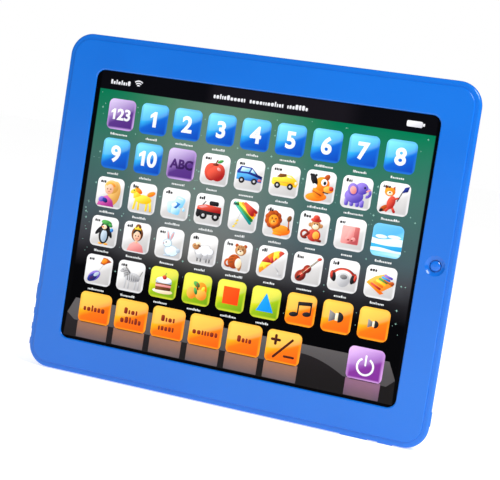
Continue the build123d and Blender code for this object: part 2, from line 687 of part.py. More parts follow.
os.makedirs("parts", exist_ok=True)
for name, build in NODES.items():
    shape = as_part(build())
    export_step(shape, f"parts/{name}.step")
    box = shape.bounding_box()
    print(f"{name:26s} solids {len(shape.solids()):2d} volume {shape.volume / 1000:8.2f} cm3 "
          f"x {box.min.X:7.1f} {box.max.X:7.1f}  y {box.min.Y:6.1f} {box.max.Y:6.1f}  "
          f"z {box.min.Z:6.1f} {box.max.Z:6.1f}")
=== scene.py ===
import random
from math import atan2, cos, degrees, hypot, pi, radians, sin

import bmesh
import bpy
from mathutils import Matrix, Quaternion, Vector


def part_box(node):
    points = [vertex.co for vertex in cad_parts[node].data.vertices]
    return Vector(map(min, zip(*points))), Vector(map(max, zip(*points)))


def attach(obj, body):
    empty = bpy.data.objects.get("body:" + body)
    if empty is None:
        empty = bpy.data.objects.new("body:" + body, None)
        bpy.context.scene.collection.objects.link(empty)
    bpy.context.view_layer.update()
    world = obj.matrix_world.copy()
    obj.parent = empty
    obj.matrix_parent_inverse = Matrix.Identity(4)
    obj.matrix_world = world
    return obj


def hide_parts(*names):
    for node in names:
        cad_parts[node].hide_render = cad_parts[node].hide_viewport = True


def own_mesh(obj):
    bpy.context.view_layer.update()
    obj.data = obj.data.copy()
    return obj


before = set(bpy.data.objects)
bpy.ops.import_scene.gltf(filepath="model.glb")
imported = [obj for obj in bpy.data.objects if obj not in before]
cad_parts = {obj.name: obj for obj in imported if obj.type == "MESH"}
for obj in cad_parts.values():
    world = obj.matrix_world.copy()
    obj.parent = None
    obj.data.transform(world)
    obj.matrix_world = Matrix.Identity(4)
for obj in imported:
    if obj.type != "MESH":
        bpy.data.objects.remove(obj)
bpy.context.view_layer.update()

# ---- places taken from the frame, in metres ----
MM = 0.001
overlay_low, overlay_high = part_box("printed_overlay")
BEZEL_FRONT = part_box("front_bezel")[0].y
FACE_Y = overlay_low.y
CENTRE_Z = (overlay_low.z + overlay_high.z) / 2

# ---- printed layout, in millimetres from the middle of the screen ----
INK = 0.02                # thickness of one printed layer
KEY_WIDTH = 16.8
KEY_HEIGHT = 17.3
KEY_CORNER = 3
KEY_PITCH_X = 20.53
KEY_PITCH_Z = 22.35
TOP_ROW = 53.7
DOCK_ROW = -57.7
DOCK_WIDTH = 20
DOCK_HEIGHT = 17.8
DOCK_PLACES = [-80.8 + 23.06 * k for k in range(6)]
POWER_KEY = 81.2
DOCK_LEVEL = 2            # printed layers below the dock keys
CAPTION_DROP = 11.2
PRINT_EDGE = 98.3         # half the width of the printed field
PRINT_FOOT = -76.4
HEADER_FOOT = 67
HEADER_ROW = 71.6
SHELF_TOP = -53.6
SHELF_BEND = -66.2        # where the grey top of the shelf meets its dark front
STAR_COUNT = 95
WHITE = (255, 255, 255)
BORDER = (3, 3, 5)


# ---- shader building ----
def rgb(red, green, blue):
    """Linear colour from the 0-255 values a screen shows."""
    levels = [value / 255 for value in (red, green, blue)]
    linear = [v / 12.92 if v <= 0.04045 else ((v + 0.055) / 1.055) ** 2.4 for v in levels]
    return (*linear, 1)


class Shader:
    """Builds one node material around a Principled surface."""

    def __init__(self, name, roughness=0.4, coat=0, metal=0, specular=0.5):
        self.material = bpy.data.materials.new(name)
        self.material.use_nodes = True
        self.tree = self.material.node_tree
        self.surface = self.tree.nodes["Principled BSDF"]
        self.set("Roughness", roughness)
        self.set("Coat Weight", coat)
        self.set("Coat Roughness", 0.12)
        self.set("Metallic", metal)
        self.set("Specular IOR Level", specular)

    def plug(self, socket, value):
        if isinstance(value, bpy.types.NodeSocket):
            self.tree.links.new(value, socket)
        else:
            socket.default_value = value

    def node(self, kind, inputs=None, **settings):
        """New node; inputs holds a value or an output for each input, by its name or number."""
        made = self.tree.nodes.new(kind)
        for key, value in settings.items():
            setattr(made, key, value)
        for key, value in (inputs or {}).items():
            self.plug(made.inputs[key], value)
        return made

    def set(self, name, value):
        self.plug(self.surface.inputs[name], value)

    def math(self, operation, first, second=0):
        return self.node("ShaderNodeMath", {0: first, 1: second}, operation=operation).outputs[0]

    def plus(self, first, second):
        return self.math("ADD", first, second)

    def minus(self, first, second):
        return self.math("SUBTRACT", first, second)

    def times(self, first, second):
        return self.math("MULTIPLY", first, second)

    def size(self, value):
        return self.math("ABSOLUTE", value)

    def least(self, first, second):
        return self.math("MINIMUM", first, second)

    def mix(self, factor, first, second):
        return self.node("ShaderNodeMix", {0: factor, 6: first, 7: second}, data_type="RGBA").outputs[2]

    def ramp(self, factor, stops):
        made = self.node("ShaderNodeValToRGB", {0: factor})
        points = made.color_ramp.elements
        while len(points) < len(stops):
            points.new(0.5)
        for point, (place, value) in zip(points, stops):
            point.position = place
            point.color = value
        return made.outputs[0]

    def step(self, value, low, high):
        """Smooth 0 to 1 as value goes from low to high."""
        made = self.node("ShaderNodeMapRange", {0: value, 1: low, 2: high}, interpolation_type="SMOOTHSTEP")
        return made.outputs[0]

    def noise(self, vector, scale, detail=3):
        made = self.node("ShaderNodeTexNoise", {"Vector": vector, "Scale": scale, "Detail": detail})
        return made.outputs[0]

    def place(self):
        """Row-frame position of a CAD node's surface, in metres."""
        return self.node("ShaderNodeTexCoord").outputs["Object"]

    def flat(self, across, up):
        """Flat vector made from two values."""
        return self.node("ShaderNodeCombineXYZ", {0: across, 1: up}).outputs[0]

    def split(self, vector):
        return self.node("ShaderNodeSeparateXYZ", {0: vector}).outputs[:]

    def art(self):
        """The (across, up) place inside a printed shape, each 0 to 1."""
        layer = self.node("ShaderNodeUVMap", uv_map="art").outputs[0]
        across, up, _ = self.split(layer)
        return layer, across, up

    def bump(self, height, strength, distance):
        inputs = {"Height": height, "Strength": strength, "Distance": distance}
        self.set("Normal", self.node("ShaderNodeBump", inputs).outputs[0])


def moulded_plastic(name, light, dark, roughness, grain, grain_depth, coat=0):
    """Moulded plastic with faint flow variation and a fine surface grain."""
    look = Shader(name, coat=coat, specular=0.32)
    place = look.place()
    flow = look.noise(place, 14, 4)
    look.set("Base Color", look.mix(look.step(flow, 0.3, 0.7), dark, light))
    skin = look.noise(place, grain, 2)
    look.set("Roughness", look.plus(look.times(skin, 0.12), roughness))
    look.bump(skin, 0.35, grain_depth)
    return look.material


def flecked(name, light, dark, roughness, scale, metal=0, coat=0, depth=0.00004):
    """Two close colours broken up by noise, with a matching bump."""
    look = Shader(name, roughness, coat, metal)
    spots = look.noise(look.place(), scale, 5)
    look.set("Base Color", look.mix(look.step(spots, 0.35, 0.65), dark, light))
    look.set("Roughness", look.plus(look.times(spots, 0.2), roughness - 0.1))
    look.bump(spots, 0.3, depth)
    return look.material


def circuit_board(name):
    """Green solder mask over copper tracks, with bright pads."""
    look = Shader(name, 0.35, coat=0.4)
    place = look.place()
    across, _, up = look.split(place)
    inputs = {"Vector": look.flat(across, up), "Scale": 260, "Mortar Size": 0.035}
    tracks = look.node("ShaderNodeTexBrick", inputs, offset=0.5)
    mask = look.mix(tracks.outputs["Fac"], rgb(18, 92, 48), rgb(46, 140, 78))
    pads = look.node("ShaderNodeTexVoronoi", {"Vector": place, "Scale": 240}, feature="DISTANCE_TO_EDGE")
    bright = look.step(pads.outputs["Distance"], 0.46, 0.5)
    look.set("Base Color", look.mix(bright, mask, rgb(205, 200, 190)))
    look.bump(tracks.outputs["Fac"], 0.3, 0.00005)
    return look.material


def dry_cell(name):
    """Plain pale cell sleeve with one green band, and bare metal ends."""
    look = Shader(name, 0.3, coat=0.3)
    across, _, _ = look.split(look.place())
    band = look.step(look.size(across), 0.0086, 0.0084)
    sleeve = look.mix(band, rgb(206, 208, 210), rgb(58, 150, 92))
    normal = look.node("ShaderNodeNewGeometry").outputs["Normal"]
    end = look.step(look.size(look.split(normal)[0]), 0.7, 0.9)
    grain = look.noise(look.place(), 900)
    tint = look.mix(look.times(grain, 0.25), sleeve, rgb(120, 120, 122))
    look.set("Base Color", look.mix(end, tint, rgb(190, 190, 186)))
    look.set("Metallic", end)
    return look.material


def printed_background(name):
    """Header strip with a painted glare across its middle, green field that fades to black, and dark side
    borders.
    """
    look = Shader(name, 0.3, specular=0.02)
    place = look.place()
    across, _, up = look.split(place)
    x = look.times(across, 1 / MM)
    z = look.times(look.minus(up, CENTRE_Z), 1 / MM)
    haze = look.noise(place, 30, 3)
    drift = look.times(look.minus(haze, 0.5), 16)
    height = look.times(look.plus(look.plus(z, drift), 77), 1 / 154)
    field = look.ramp(height, [
        (0, rgb(0, 0, 1)), (0.28, rgb(2, 2, 4)), (0.34, rgb(30, 29, 33)), (0.42, rgb(64, 66, 71)),
        (0.50, rgb(66, 84, 89)), (0.58, rgb(64, 92, 91)), (0.70, rgb(60, 101, 94)),
        (0.82, rgb(38, 108, 86)), (0.935, rgb(1, 110, 74))])
    middle = look.step(look.size(look.plus(x, 22)), 70, 5)
    fade = look.step(z, -34, -10)
    pale = look.times(look.times(middle, fade), 0.36)
    field = look.mix(pale, field, rgb(142, 142, 136))
    # painted reflection: the header is lighter from about x -30 to 53 mm, a glare painted into its colour
    glare = look.times(look.step(x, -34, -26), look.step(x, 60, 46))
    header = look.mix(look.times(glare, 0.8), rgb(8, 8, 13), rgb(24, 21, 27))
    is_header = look.step(z, HEADER_FOOT - 0.2, HEADER_FOOT + 0.2)
    colour = look.mix(is_header, field, header)
    edge = look.size(look.minus(x, 0.6))
    is_side = look.step(edge, PRINT_EDGE - 0.3, PRINT_EDGE + 0.3)
    colour = look.mix(is_side, colour, rgb(*BORDER))
    is_foot = look.step(z, PRINT_FOOT + 0.2, PRINT_FOOT - 0.2)
    colour = look.mix(is_foot, colour, rgb(*BORDER))
    look.set("Base Color", colour)
    fine = look.noise(place, 2600, 2)
    look.bump(fine, 0.06, 0.00002)
    return look.material


def key_face(name, top, high, middle, low, rim):
    """Glossy key picture ground: bright top left, darker lower right, lit rim and a curved gloss."""
    look = Shader(name, 0.3, specular=0.12)
    layer, across, up = look.art()
    diagonal = look.plus(look.times(up, 0.66), look.times(across, -0.34))
    diagonal = look.plus(diagonal, 0.34)
    ground = look.ramp(diagonal, [(0.06, low), (0.42, middle), (0.58, high), (0.92, top)])
    lift = look.plus(look.times(look.times(across, across), 0.3), 0.42)
    gloss = look.step(look.minus(up, lift), -0.04, 0.04)
    ground = look.mix(look.times(gloss, 0.07), ground, rgb(*WHITE))
    side = look.least(across, look.minus(1, across))
    ends = look.least(up, look.minus(1, up))
    inset = look.least(side, ends)
    ring = look.step(inset, 0.10, 0.02)
    corner = look.step(diagonal, 0.62, 0.12)
    lit = look.times(ring, look.plus(look.times(corner, 0.55), 0.3))
    dots = look.noise(layer, 120, 1)
    lit = look.plus(lit, look.times(look.minus(dots, 0.5), 0.08))
    look.set("Base Color", look.mix(lit, ground, rim))
    return look.material


def printed_ink(name, light, dark):
    """Printed colour that shades from upper left to lower right, with a fine halftone."""
    look = Shader(name, 0.34, specular=0.1)
    layer, across, up = look.art()
    diagonal = look.times(look.minus(look.plus(up, 1), across), 0.5)
    dots = look.noise(layer, 90, 1)
    blend = look.plus(diagonal, look.times(look.minus(dots, 0.5), 0.12))
    look.set("Base Color", look.mix(look.step(blend, 0.15, 0.85), dark, light))
    return look.material


INKS = {
    "white": ((255, 255, 255), (226, 228, 232)), "cream": ((252, 244, 222), (226, 202, 160)),
    "silver": ((214, 214, 216), (164, 164, 168)), "grey": ((150, 148, 146), (92, 92, 96)),
    "black": ((44, 42, 46), (10, 9, 12)), "brown": ((150, 92, 48), (84, 44, 20)),
    "tan": ((214, 158, 104), (164, 104, 58)), "skin": ((252, 214, 184), (226, 164, 132)),
    "red": ((236, 92, 70), (158, 22, 24)), "maroon": ((168, 58, 40), (84, 14, 14)),
    "rust": ((206, 92, 30), (134, 46, 12)), "orange": ((252, 164, 44), (226, 104, 12)),
    "apricot": ((252, 196, 84), (226, 128, 34)), "gold": ((246, 208, 128), (206, 144, 62)),
    "yellow": ((255, 238, 84), (232, 184, 16)), "green": ((96, 186, 92), (26, 108, 48)),
    "teal": ((84, 200, 178), (20, 132, 128)), "blue": ((88, 176, 238), (24, 84, 176)),
    "navy": ((44, 66, 160), (14, 18, 82)), "ice": ((214, 240, 252), (120, 196, 238)),
    "mist": ((206, 220, 232), (150, 172, 192)), "purple": ((156, 132, 226), (74, 58, 166)),
    "magenta": ((226, 112, 190), (164, 44, 132)), "pink": ((246, 176, 170), (214, 122, 122)),
    "rose": ((218, 122, 118), (176, 76, 80)), "shape_red": ((255, 84, 16), (246, 68, 8)),
    "shape_blue": ((28, 160, 250), (8, 142, 240)), "plum": ((74, 40, 110), (46, 20, 78)),
    "word": ((150, 56, 20), (112, 22, 20)), "symbol": ((82, 32, 16), (48, 14, 8)),
    "caption": ((232, 234, 234), (200, 204, 204)), "header_mark": ((232, 232, 236), (200, 200, 206)),
    "star": ((158, 206, 190), (120, 164, 156)), "shelf": ((92, 88, 88), (74, 71, 72)),
    "shelf_front": ((34, 28, 31), (16, 12, 13)),
    "surf": ((244, 252, 254), (214, 240, 248)), "sea": ((60, 176, 226), (36, 150, 208)),
}
KEY_FACES = {
    "blue_key": ((112, 224, 250), (50, 176, 236), (6, 92, 198), (2, 62, 172), (28, 108, 200)),
    "purple_key": ((208, 190, 230), (146, 112, 184), (84, 48, 128), (76, 36, 120), (204, 166, 232)),
    "white_key": ((250, 250, 250), (238, 237, 236), (206, 204, 203), (182, 180, 180), (222, 222, 224)),
    "lime_key": ((250, 240, 46), (216, 216, 26), (146, 184, 12), (104, 152, 8), (204, 210, 50)),
    "orange_key": ((255, 206, 40), (255, 180, 14), (246, 112, 2), (236, 90, 0), (252, 158, 24)),
    "power_key": ((222, 178, 238), (160, 98, 188), (124, 44, 144), (120, 36, 140), (216, 162, 226)),
    "sky_key": ((84, 184, 236), (40, 166, 232), (120, 208, 240), (196, 234, 246), (120, 204, 240)),
}
print_materials = {name: printed_ink("ink_" + name, rgb(*a), rgb(*b)) for name, (a, b) in INKS.items()}
for face_name, shades in KEY_FACES.items():
    print_materials[face_name] = key_face(face_name, *[rgb(*shade) for shade in shades])


# ---- printed shapes: an outline is a list of (across, up) in millimetres ----
def turned_outline(points, x, z, turn):
    """The same outline turned about (x, z) by so many degrees."""
    lean = radians(turn)
    return [(x + (u - x) * cos(lean) - (v - z) * sin(lean),
             z + (u - x) * sin(lean) + (v - z) * cos(lean)) for u, v in points]


def oval_outline(x, z, across, up, turn=0, start=0, end=360, steps=28):
    whole = abs(end - start) >= 360
    count = steps if whole else steps + 1
    angles = [radians(start + (end - start) * k / steps) for k in range(count)]
    return turned_outline([(x + across * cos(a), z + up * sin(a)) for a in angles], x, z, turn)


def rounded_outline(x, z, width, height, corner):
    steps = 6
    points = []
    for quarter, (sx, sz) in enumerate(((1, 1), (-1, 1), (-1, -1), (1, -1))):
        cx = x + sx * (width / 2 - corner)
        cz = z + sz * (height / 2 - corner)
        for k in range(steps + 1):
            angle = radians(90 * quarter + 90 * k / steps)
            points.append((cx + corner * cos(angle), cz + corner * sin(angle)))
    return points


def area(points):
    """Signed area: negative for a clockwise outline."""
    pairs = zip(points, points[1:] + points[:1])
    return sum(a[0] * b[1] - b[0] * a[1] for a, b in pairs) / 2


def add_piece(name, mesh, materials):
    """Object made from a bmesh, with its materials."""
    data = bpy.data.meshes.new(name)
    mesh.to_mesh(data)
    mesh.free()
    for material in materials:
        data.materials.append(material)
    piece = bpy.data.objects.new(name, data)
    bpy.context.scene.collection.objects.link(piece)
    return piece


class Sheet:
    """One printed piece: thin closed slabs of ink, each a step above the last, on the overlay."""

    def __init__(self, name, x=0, z=0):
        self.name = name
        self.x = x
        self.z = z
        self.level = 0
        self.mesh = bmesh.new()
        self.layer = self.mesh.loops.layers.uv.new("art")
        self.inks = []

    def depth(self, level):
        return FACE_Y - level * INK * MM

    def point(self, x, z, y):
        return Vector(((self.x + x) * MM, y, CENTRE_Z + (self.z + z) * MM))

    def paint(self, faces, ink, box):
        low_x, low_z, high_x, high_z = box
        if ink not in self.inks:
            self.inks.append(ink)
        index = self.inks.index(ink)
        for face in faces:
            face.material_index = index
            for loop in face.loops:
                x = loop.vert.co.x / MM - self.x
                z = (loop.vert.co.z - CENTRE_Z) / MM - self.z
                loop[self.layer].uv = ((x - low_x) / (high_x - low_x), (z - low_z) / (high_z - low_z))

    def slab(self, points, ink, lift=True):
        """Closed slab with the given outline; lift puts the next slab a step higher."""
        if area(points) < 0:
            points = points[::-1]
        front_y = self.depth(self.level + 1)
        back_y = self.depth(self.level - 0.3)
        front = [self.mesh.verts.new(self.point(x, z, front_y)) for x, z in points]
        back = [self.mesh.verts.new(self.point(x, z, back_y)) for x, z in points]
        faces = [self.mesh.faces.new(front), self.mesh.faces.new(back[::-1])]
        count = len(points)
        for k in range(count):
            after = (k + 1) % count
            faces.append(self.mesh.faces.new((front[k], back[k], back[after], front[after])))
        across = [p[0] for p in points]
        up = [p[1] for p in points]
        self.paint(faces, ink, (min(across), min(up), max(across), max(up)))
        if lift:
            self.level += 1

    def oval(self, x, z, across, up, ink, turn=0, lift=True):
        """Oval with these half widths, turned by so many degrees."""
        self.slab(oval_outline(x, z, across, up, turn), ink, lift)

    def pair(self, left, right, z, across, up, ink):
        """Two equal ovals side by side in one layer, such as eyes or ears."""
        self.oval(left, z, across, up, ink, lift=False)
        self.oval(right, z, across, up, ink)

    def rounded(self, x, z, width, height, corner, ink, turn=0, lift=True):
        points = turned_outline(rounded_outline(x, z, width, height, corner), x, z, turn)
        self.slab(points, ink, lift)

    def bar(self, x0, z0, x1, z1, width, ink):
        """Straight stroke with rounded ends."""
        length = hypot(x1 - x0, z1 - z0)
        turn = degrees(atan2(z1 - z0, x1 - x0))
        self.rounded((x0 + x1) / 2, (z0 + z1) / 2, length + width, width, width * 0.49, ink, turn)

    def band(self, x, z, outer, inner, ink, start, end, squash=1, lift=True):
        """Arc-shaped band from the start to the end angle, in degrees."""
        out = oval_outline(x, z, outer, outer * squash, 0, start, end)
        back = oval_outline(x, z, inner, inner * squash, 0, start, end)
        self.slab(out + back[::-1], ink, lift)

    def glyphs(self, text, size, ink, weight, x=0):
        """Numerals or letters as solid shapes; weight thickens their strokes."""
        curve = bpy.data.curves.new("glyphs", "FONT")
        curve.body = text
        curve.size = size
        curve.offset = weight
        curve.extrude = INK * 0.65
        curve.resolution_u = 4
        holder = bpy.data.objects.new("glyphs", curve)
        bpy.context.scene.collection.objects.link(holder)
        shape = holder.evaluated_get(bpy.context.evaluated_depsgraph_get()).to_mesh()
        wide = [v.co.x for v in shape.vertices]
        tall = [v.co.y for v in shape.vertices]
        shift_x = x - (min(wide) + max(wide)) / 2
        shift_z = -(min(tall) + max(tall)) / 2
        middle = self.depth(self.level + 0.35)
        verts = [self.mesh.verts.new(self.point(v.co.x + shift_x, v.co.y + shift_z, middle - v.co.z * MM))
                 for v in shape.vertices]
        faces = [self.mesh.faces.new([verts[k] for k in polygon.vertices]) for polygon in shape.polygons]
        box = (min(wide) + shift_x, min(tall) + shift_z, max(wide) + shift_x, max(tall) + shift_z)
        self.paint(faces, ink, box)
        bmesh.ops.remove_doubles(self.mesh, verts=verts, dist=1e-7)
        bpy.data.objects.remove(holder)
        self.level += 1

    def one(self, size, ink, x=0):
        """Numeral one with a flag, in the weight of the other numerals."""
        points = [(-0.04, -0.35), (0.13, -0.35), (0.13, 0.35), (0, 0.35), (-0.19, 0.19), (-0.19, 0.05),
                  (-0.04, 0.13)]
        self.slab([(x + u * size, v * size) for u, v in points], ink, lift=False)

    def finish(self):
        bmesh.ops.recalc_face_normals(self.mesh, faces=self.mesh.faces[:])
        piece = add_piece(self.name, self.mesh, [print_materials[name] for name in self.inks])
        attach(piece, "case")


def plain_word(sheet, x, z, width, height, ink, seed):
    """Row of small strokes that stands for a printed word without spelling one."""
    dice = random.Random(seed)
    left = x - width / 2
    bottom = z - height / 2
    while left < x + width / 2 - 0.3 * height:
        stroke = height * dice.choice((0.3, 0.46, 0.6))
        tall = height * dice.choice((0.66, 0.66, 0.72, 1))
        sheet.rounded(left + stroke / 2, bottom + tall / 2, stroke, tall, stroke * 0.4, ink, lift=False)
        left += stroke + height * 0.17
    sheet.level += 1


# ---- the pictures ----
def wheels(sheet, radius, low, *places):
    for x in places:
        sheet.oval(x, low, radius, radius, "black")
        sheet.oval(x, low, radius * 0.42, radius * 0.42, "silver")


def draw_apple(s):
    s.oval(-2, -1.3, 4.1, 4.9, "red", 6)
    s.oval(2, -1.3, 4.1, 4.9, "red", -6)
    s.oval(0.2, -2.2, 4.6, 3.6, "red")
    s.oval(0, 3, 1.8, 0.7, "maroon")
    s.bar(0, 3, 0.9, 5.4, 0.7, "brown")
    s.oval(2.7, 4.9, 1.8, 0.8, "green", 24)
    s.oval(2.3, 0.6, 1.3, 0.8, "pink", -30)


def draw_saloon(s):
    s.slab([(-7.3, -2.6), (7.3, -3.2), (7.6, 0.2), (4.8, 1), (1, 4.4), (-5.4, 4.6), (-7.5, 1.8)], "navy")
    s.slab([(-7.4, -2.8), (7.3, -3.2), (7.5, -1.2), (-1, 0.8), (-7.4, 0.6)], "blue")
    s.slab([(-5.6, 1.6), (-0.6, 1.8), (0.4, 3.8), (-4.8, 4)], "ice")
    s.slab([(0.4, 1.8), (3.6, 1.2), (1.2, 3.7)], "ice")
    s.oval(6.2, -2, 1.1, 0.8, "rose")
    wheels(s, 1.7, -3, -4.2, 3.2)


def draw_roadster(s):
    s.slab([(-7.4, -1.6), (-7, 1.2), (-3.4, 1.8), (-1.2, 3.6), (3.6, 3.4), (6.6, 1.4), (7.8, -0.6),
            (7, -2.6), (-6.4, -2.6)], "yellow")
    s.slab([(-4.6, 1.9), (-3, 3.8), (0.6, 3.9), (0.8, 2.6), (-2.2, 1.8)], "brown")
    s.slab([(1.2, 2.4), (1.2, 3.2), (3.4, 2.8), (4.6, 1.8)], "cream")
    s.bar(-6, -0.6, 5.6, -0.8, 0.35, "apricot")
    s.oval(6.6, -0.4, 0.7, 0.9, "cream")
    wheels(s, 1.7, -2.6, -3.8, 3.6)


def draw_dog(s):
    s.oval(-1.6, -5.6, 6, 2.4, "orange", 6)
    s.oval(-0.6, -2.6, 3.4, 3.6, "orange", 20)
    s.oval(0.8, 1.6, 4.2, 3.9, "orange")
    s.oval(-3.9, 3.4, 1.7, 3.4, "black", 28)
    s.oval(3.2, 5.4, 1.4, 1.9, "rust", -38)
    s.oval(-3.2, 0.2, 1.3, 1.2, "white")
    s.oval(1.9, 2.6, 1.7, 1.9, "white")
    s.oval(2.3, 2.3, 0.8, 1, "black")
    s.oval(4.8, -0.9, 2.8, 1.9, "apricot")
    s.oval(6.3, -0.2, 1.3, 1.2, "red")
    s.bar(2, -2.6, 4.8, -2.9, 0.5, "black")
    s.bar(-3.8, -2.6, 1.2, -4.6, 0.5, "rust")


def draw_elephant(s):
    for x in (-5, -2, 1.2, 3.6):
        s.rounded(x, -5.4, 2.2, 4, 0.9, "purple")
    s.oval(-1.2, -1.8, 5.2, 3.8, "purple")
    s.oval(2.6, 2.6, 3.6, 3.2, "purple")
    s.band(5.4, 0.6, 2.8, 1.3, "purple", -95, 80)
    s.oval(-2.2, 1.6, 2.9, 3.3, "purple", 14)
    s.oval(-2, 1.2, 1.8, 2.2, "pink", 14)
    s.oval(4.2, 3.2, 0.5, 0.6, "black")
    s.bar(5.4, 1.4, 7.2, 2.4, 0.7, "pink")


def draw_fox(s):
    s.oval(-4.6, -5.6, 2.6, 1.4, "rust", 38)
    s.oval(-6, -6.8, 1.1, 0.8, "black", 38)
    s.bar(-1.6, -4.6, -3.4, -6.6, 1.5, "red")
    s.bar(-0.4, -4.6, 1, -6.8, 1.4, "red")
    s.oval(-1.2, -2.2, 2.2, 3.6, "red", -14)
    s.slab([(-5.4, 4.2), (-4.8, 6.6), (-3.2, 5.2)], "rust")
    s.slab([(-1.4, 5.4), (-0.2, 6.6), (0.2, 4.2)], "rust")
    s.oval(-2.6, 3.4, 2.9, 2.4, "orange")
    s.oval(-2.6, 2.6, 1.6, 1.1, "cream")
    s.oval(-2.6, 3, 0.5, 0.4, "black")
    s.bar(-0.6, -0.4, 2.6, 0.6, 1, "red")
    s.bar(2, -1, 4.4, 4.6, 0.45, "black")
    s.slab([(4, 3.6), (5.2, 6.6), (7.6, 7.4), (7, 4.6)], "navy")


def draw_doll(s):
    s.oval(2.6, 0, 3.8, 7, "gold", -8)
    s.oval(0.6, 3.4, 4.4, 3.8, "gold")
    s.oval(-0.8, 2, 2.7, 3, "skin")
    s.band(-0.2, 2.6, 3.5, 2.3, "apricot", 20, 150)
    s.pair(-1.8, 0.2, 2.1, 0.35, 0.45, "brown")
    s.band(-0.8, 1.3, 0.9, 0.6, "rose", 200, 340)
    s.slab([(-7.2, -7.8), (-5.6, -3.4), (-1.4, -1.6), (2.2, -4.2), (3.4, -7.8)], "magenta")
    s.oval(-4.6, -4.2, 2, 1.5, "purple", 20)
    s.oval(-2.4, -4.6, 1.7, 1.3, "navy", -30)


def draw_horse(s):
    for x, lean in ((-4, -0.8), (-2, 0.2), (3.2, -0.2), (5, 0.8)):
        s.bar(x, -1.6, x + lean, -6.4, 1.3, "yellow")
    s.oval(0.6, -0.6, 5.2, 2.5, "yellow")
    s.slab([(-5.4, -0.8), (-6, 3), (-3.4, 4.4), (-1, 1.4)], "yellow")
    s.oval(-5.6, 3.4, 2.3, 1.2, "yellow", 28)
    s.oval(-2.8, 4, 2.6, 1.2, "orange", -34)
    s.slab([(-4.6, 4.8), (-4.2, 6.4), (-3.4, 4.8)], "apricot")
    s.oval(5.2, 3, 2.6, 1.3, "orange", 24)
    s.oval(-5.6, 3.8, 0.35, 0.35, "black")


def draw_ice(s):
    s.rounded(-1.4, -1.6, 6.6, 6.6, 1.6, "ice", 14)
    s.rounded(2.4, 1.6, 6, 6, 1.5, "ice", -18)
    s.rounded(0.6, -3.6, 5.4, 4.4, 1.4, "ice", -6)
    s.slab([(-2.6, -1.2), (0.6, 1.4), (3.2, 0.4), (0.8, -2.4)], "blue")
    s.oval(-0.6, -0.4, 1.8, 1.1, "surf", 30)
    s.bar(1.6, 3.6, 4.2, 3, 0.6, "surf")
    s.oval(5.4, -2.4, 0.8, 1, "ice")


def draw_open_car(s):
    s.slab([(-4.6, 2.4), (-2.8, 4.6), (-2, 4.6), (-3.4, 2.4)], "grey")
    s.rounded(2.6, 3.8, 5.6, 2.4, 0.9, "black")
    s.slab([(-7.2, -0.4), (-7, 1.4), (-2.2, 2.8), (7, 2.2), (7.4, -1.2), (0, -1)], "red")
    s.slab([(-6.8, 1), (-2.4, 2.4), (-0.6, 1.6), (-4.6, 0.4)], "pink")
    s.slab([(-7.4, -2.8), (-7.3, -0.4), (0.4, -1), (7.4, -1), (7.2, -2.6)], "black")
    wheels(s, 2.2, -3.4, -3, 4.4)
    s.oval(-6.2, -2.8, 1.3, 1.9, "black")


def draw_kite(s):
    for k, shade in enumerate(("teal", "green", "yellow", "orange", "red")):
        start = (-5.6 + 1.5 * k, 6.4 + 0.1 * k)
        end = (4.4 + 0.7 * k, -3.4 + 1.6 * k)
        s.bar(*start, *end, 1.7, shade)
    s.oval(3.4, 3.6, 3.9, 1.7, "red", -52)
    s.bar(-1.6, 1.6, -4, -5.6, 0.25, "silver")
    for x, z in ((-3, -3), (-3.6, -4.8), (-4.6, -6.4)):
        s.oval(x, z, 0.8, 0.5, "yellow", 30)


def draw_lion(s):
    s.oval(2.4, -4.2, 5.2, 2.8, "orange")
    s.bar(-1.6, -6.4, 2.4, -6.6, 1.5, "orange")
    s.bar(6.4, -3.4, 6, 1.6, 0.7, "rust")
    s.oval(6.2, 2.6, 1.2, 1.7, "brown", -20)
    for angle in range(0, 360, 40):
        a = radians(angle)
        s.oval(-2.8 + 3 * cos(a), 1 + 3.2 * sin(a), 2, 1.9, "rust")
    s.oval(-2.6, 0.6, 2.8, 3, "orange")
    s.oval(-2.4, -0.6, 1.7, 1.2, "apricot")
    s.oval(-2.4, 0, 0.6, 0.45, "brown")
    s.pair(-3.6, -1.4, 1.6, 0.35, 0.45, "black")


def draw_monkey(s):
    s.band(-4.6, -3.8, 2.6, 1.4, "maroon", 20, 310)
    s.oval(0.6, -3.8, 3.8, 3.4, "red")
    s.oval(1.8, -3.8, 1.9, 2.2, "apricot")
    s.bar(-2.4, -3, -4.8, -5.4, 1.4, "maroon")
    s.bar(2, -6.2, 4.6, -6.4, 1.4, "maroon")
    s.pair(-2.2, 4, 1.6, 1, 1.1, "tan")
    s.oval(0.9, 1.6, 2.8, 2.6, "tan")
    s.oval(0.9, 0.8, 1.8, 1.4, "cream")
    s.pair(0.2, 1.7, 2.2, 0.35, 0.4, "black")
    s.oval(0.8, 4.4, 3, 1.1, "red")
    s.oval(0.9, 5.6, 1.8, 1.5, "red")


def draw_nose(s):
    s.rounded(0.2, -0.4, 9.8, 9.6, 0.8, "pink")
    s.slab([(2.4, 4.2), (4.8, 4.2), (4.8, -5), (-1.4, -5), (2, -2.2)], "rose")
    s.oval(0.4, -0.2, 1.8, 3.6, "pink", -6)
    s.pair(-1.2, 2.2, -2.4, 1.2, 1.1, "pink")
    s.pair(-0.6, 1.4, -3, 0.6, 0.35, "maroon")


def wave_outline(low, high, swell, phase):
    """Strip across the key with a wavy top edge."""
    half = KEY_WIDTH / 2 - 0.05
    steps = 16
    top = [(half - 2 * half * k / steps, high + swell * sin(phase + 5.2 * k / steps))
           for k in range(steps + 1)]
    return [(-half, low), (half, low)] + top


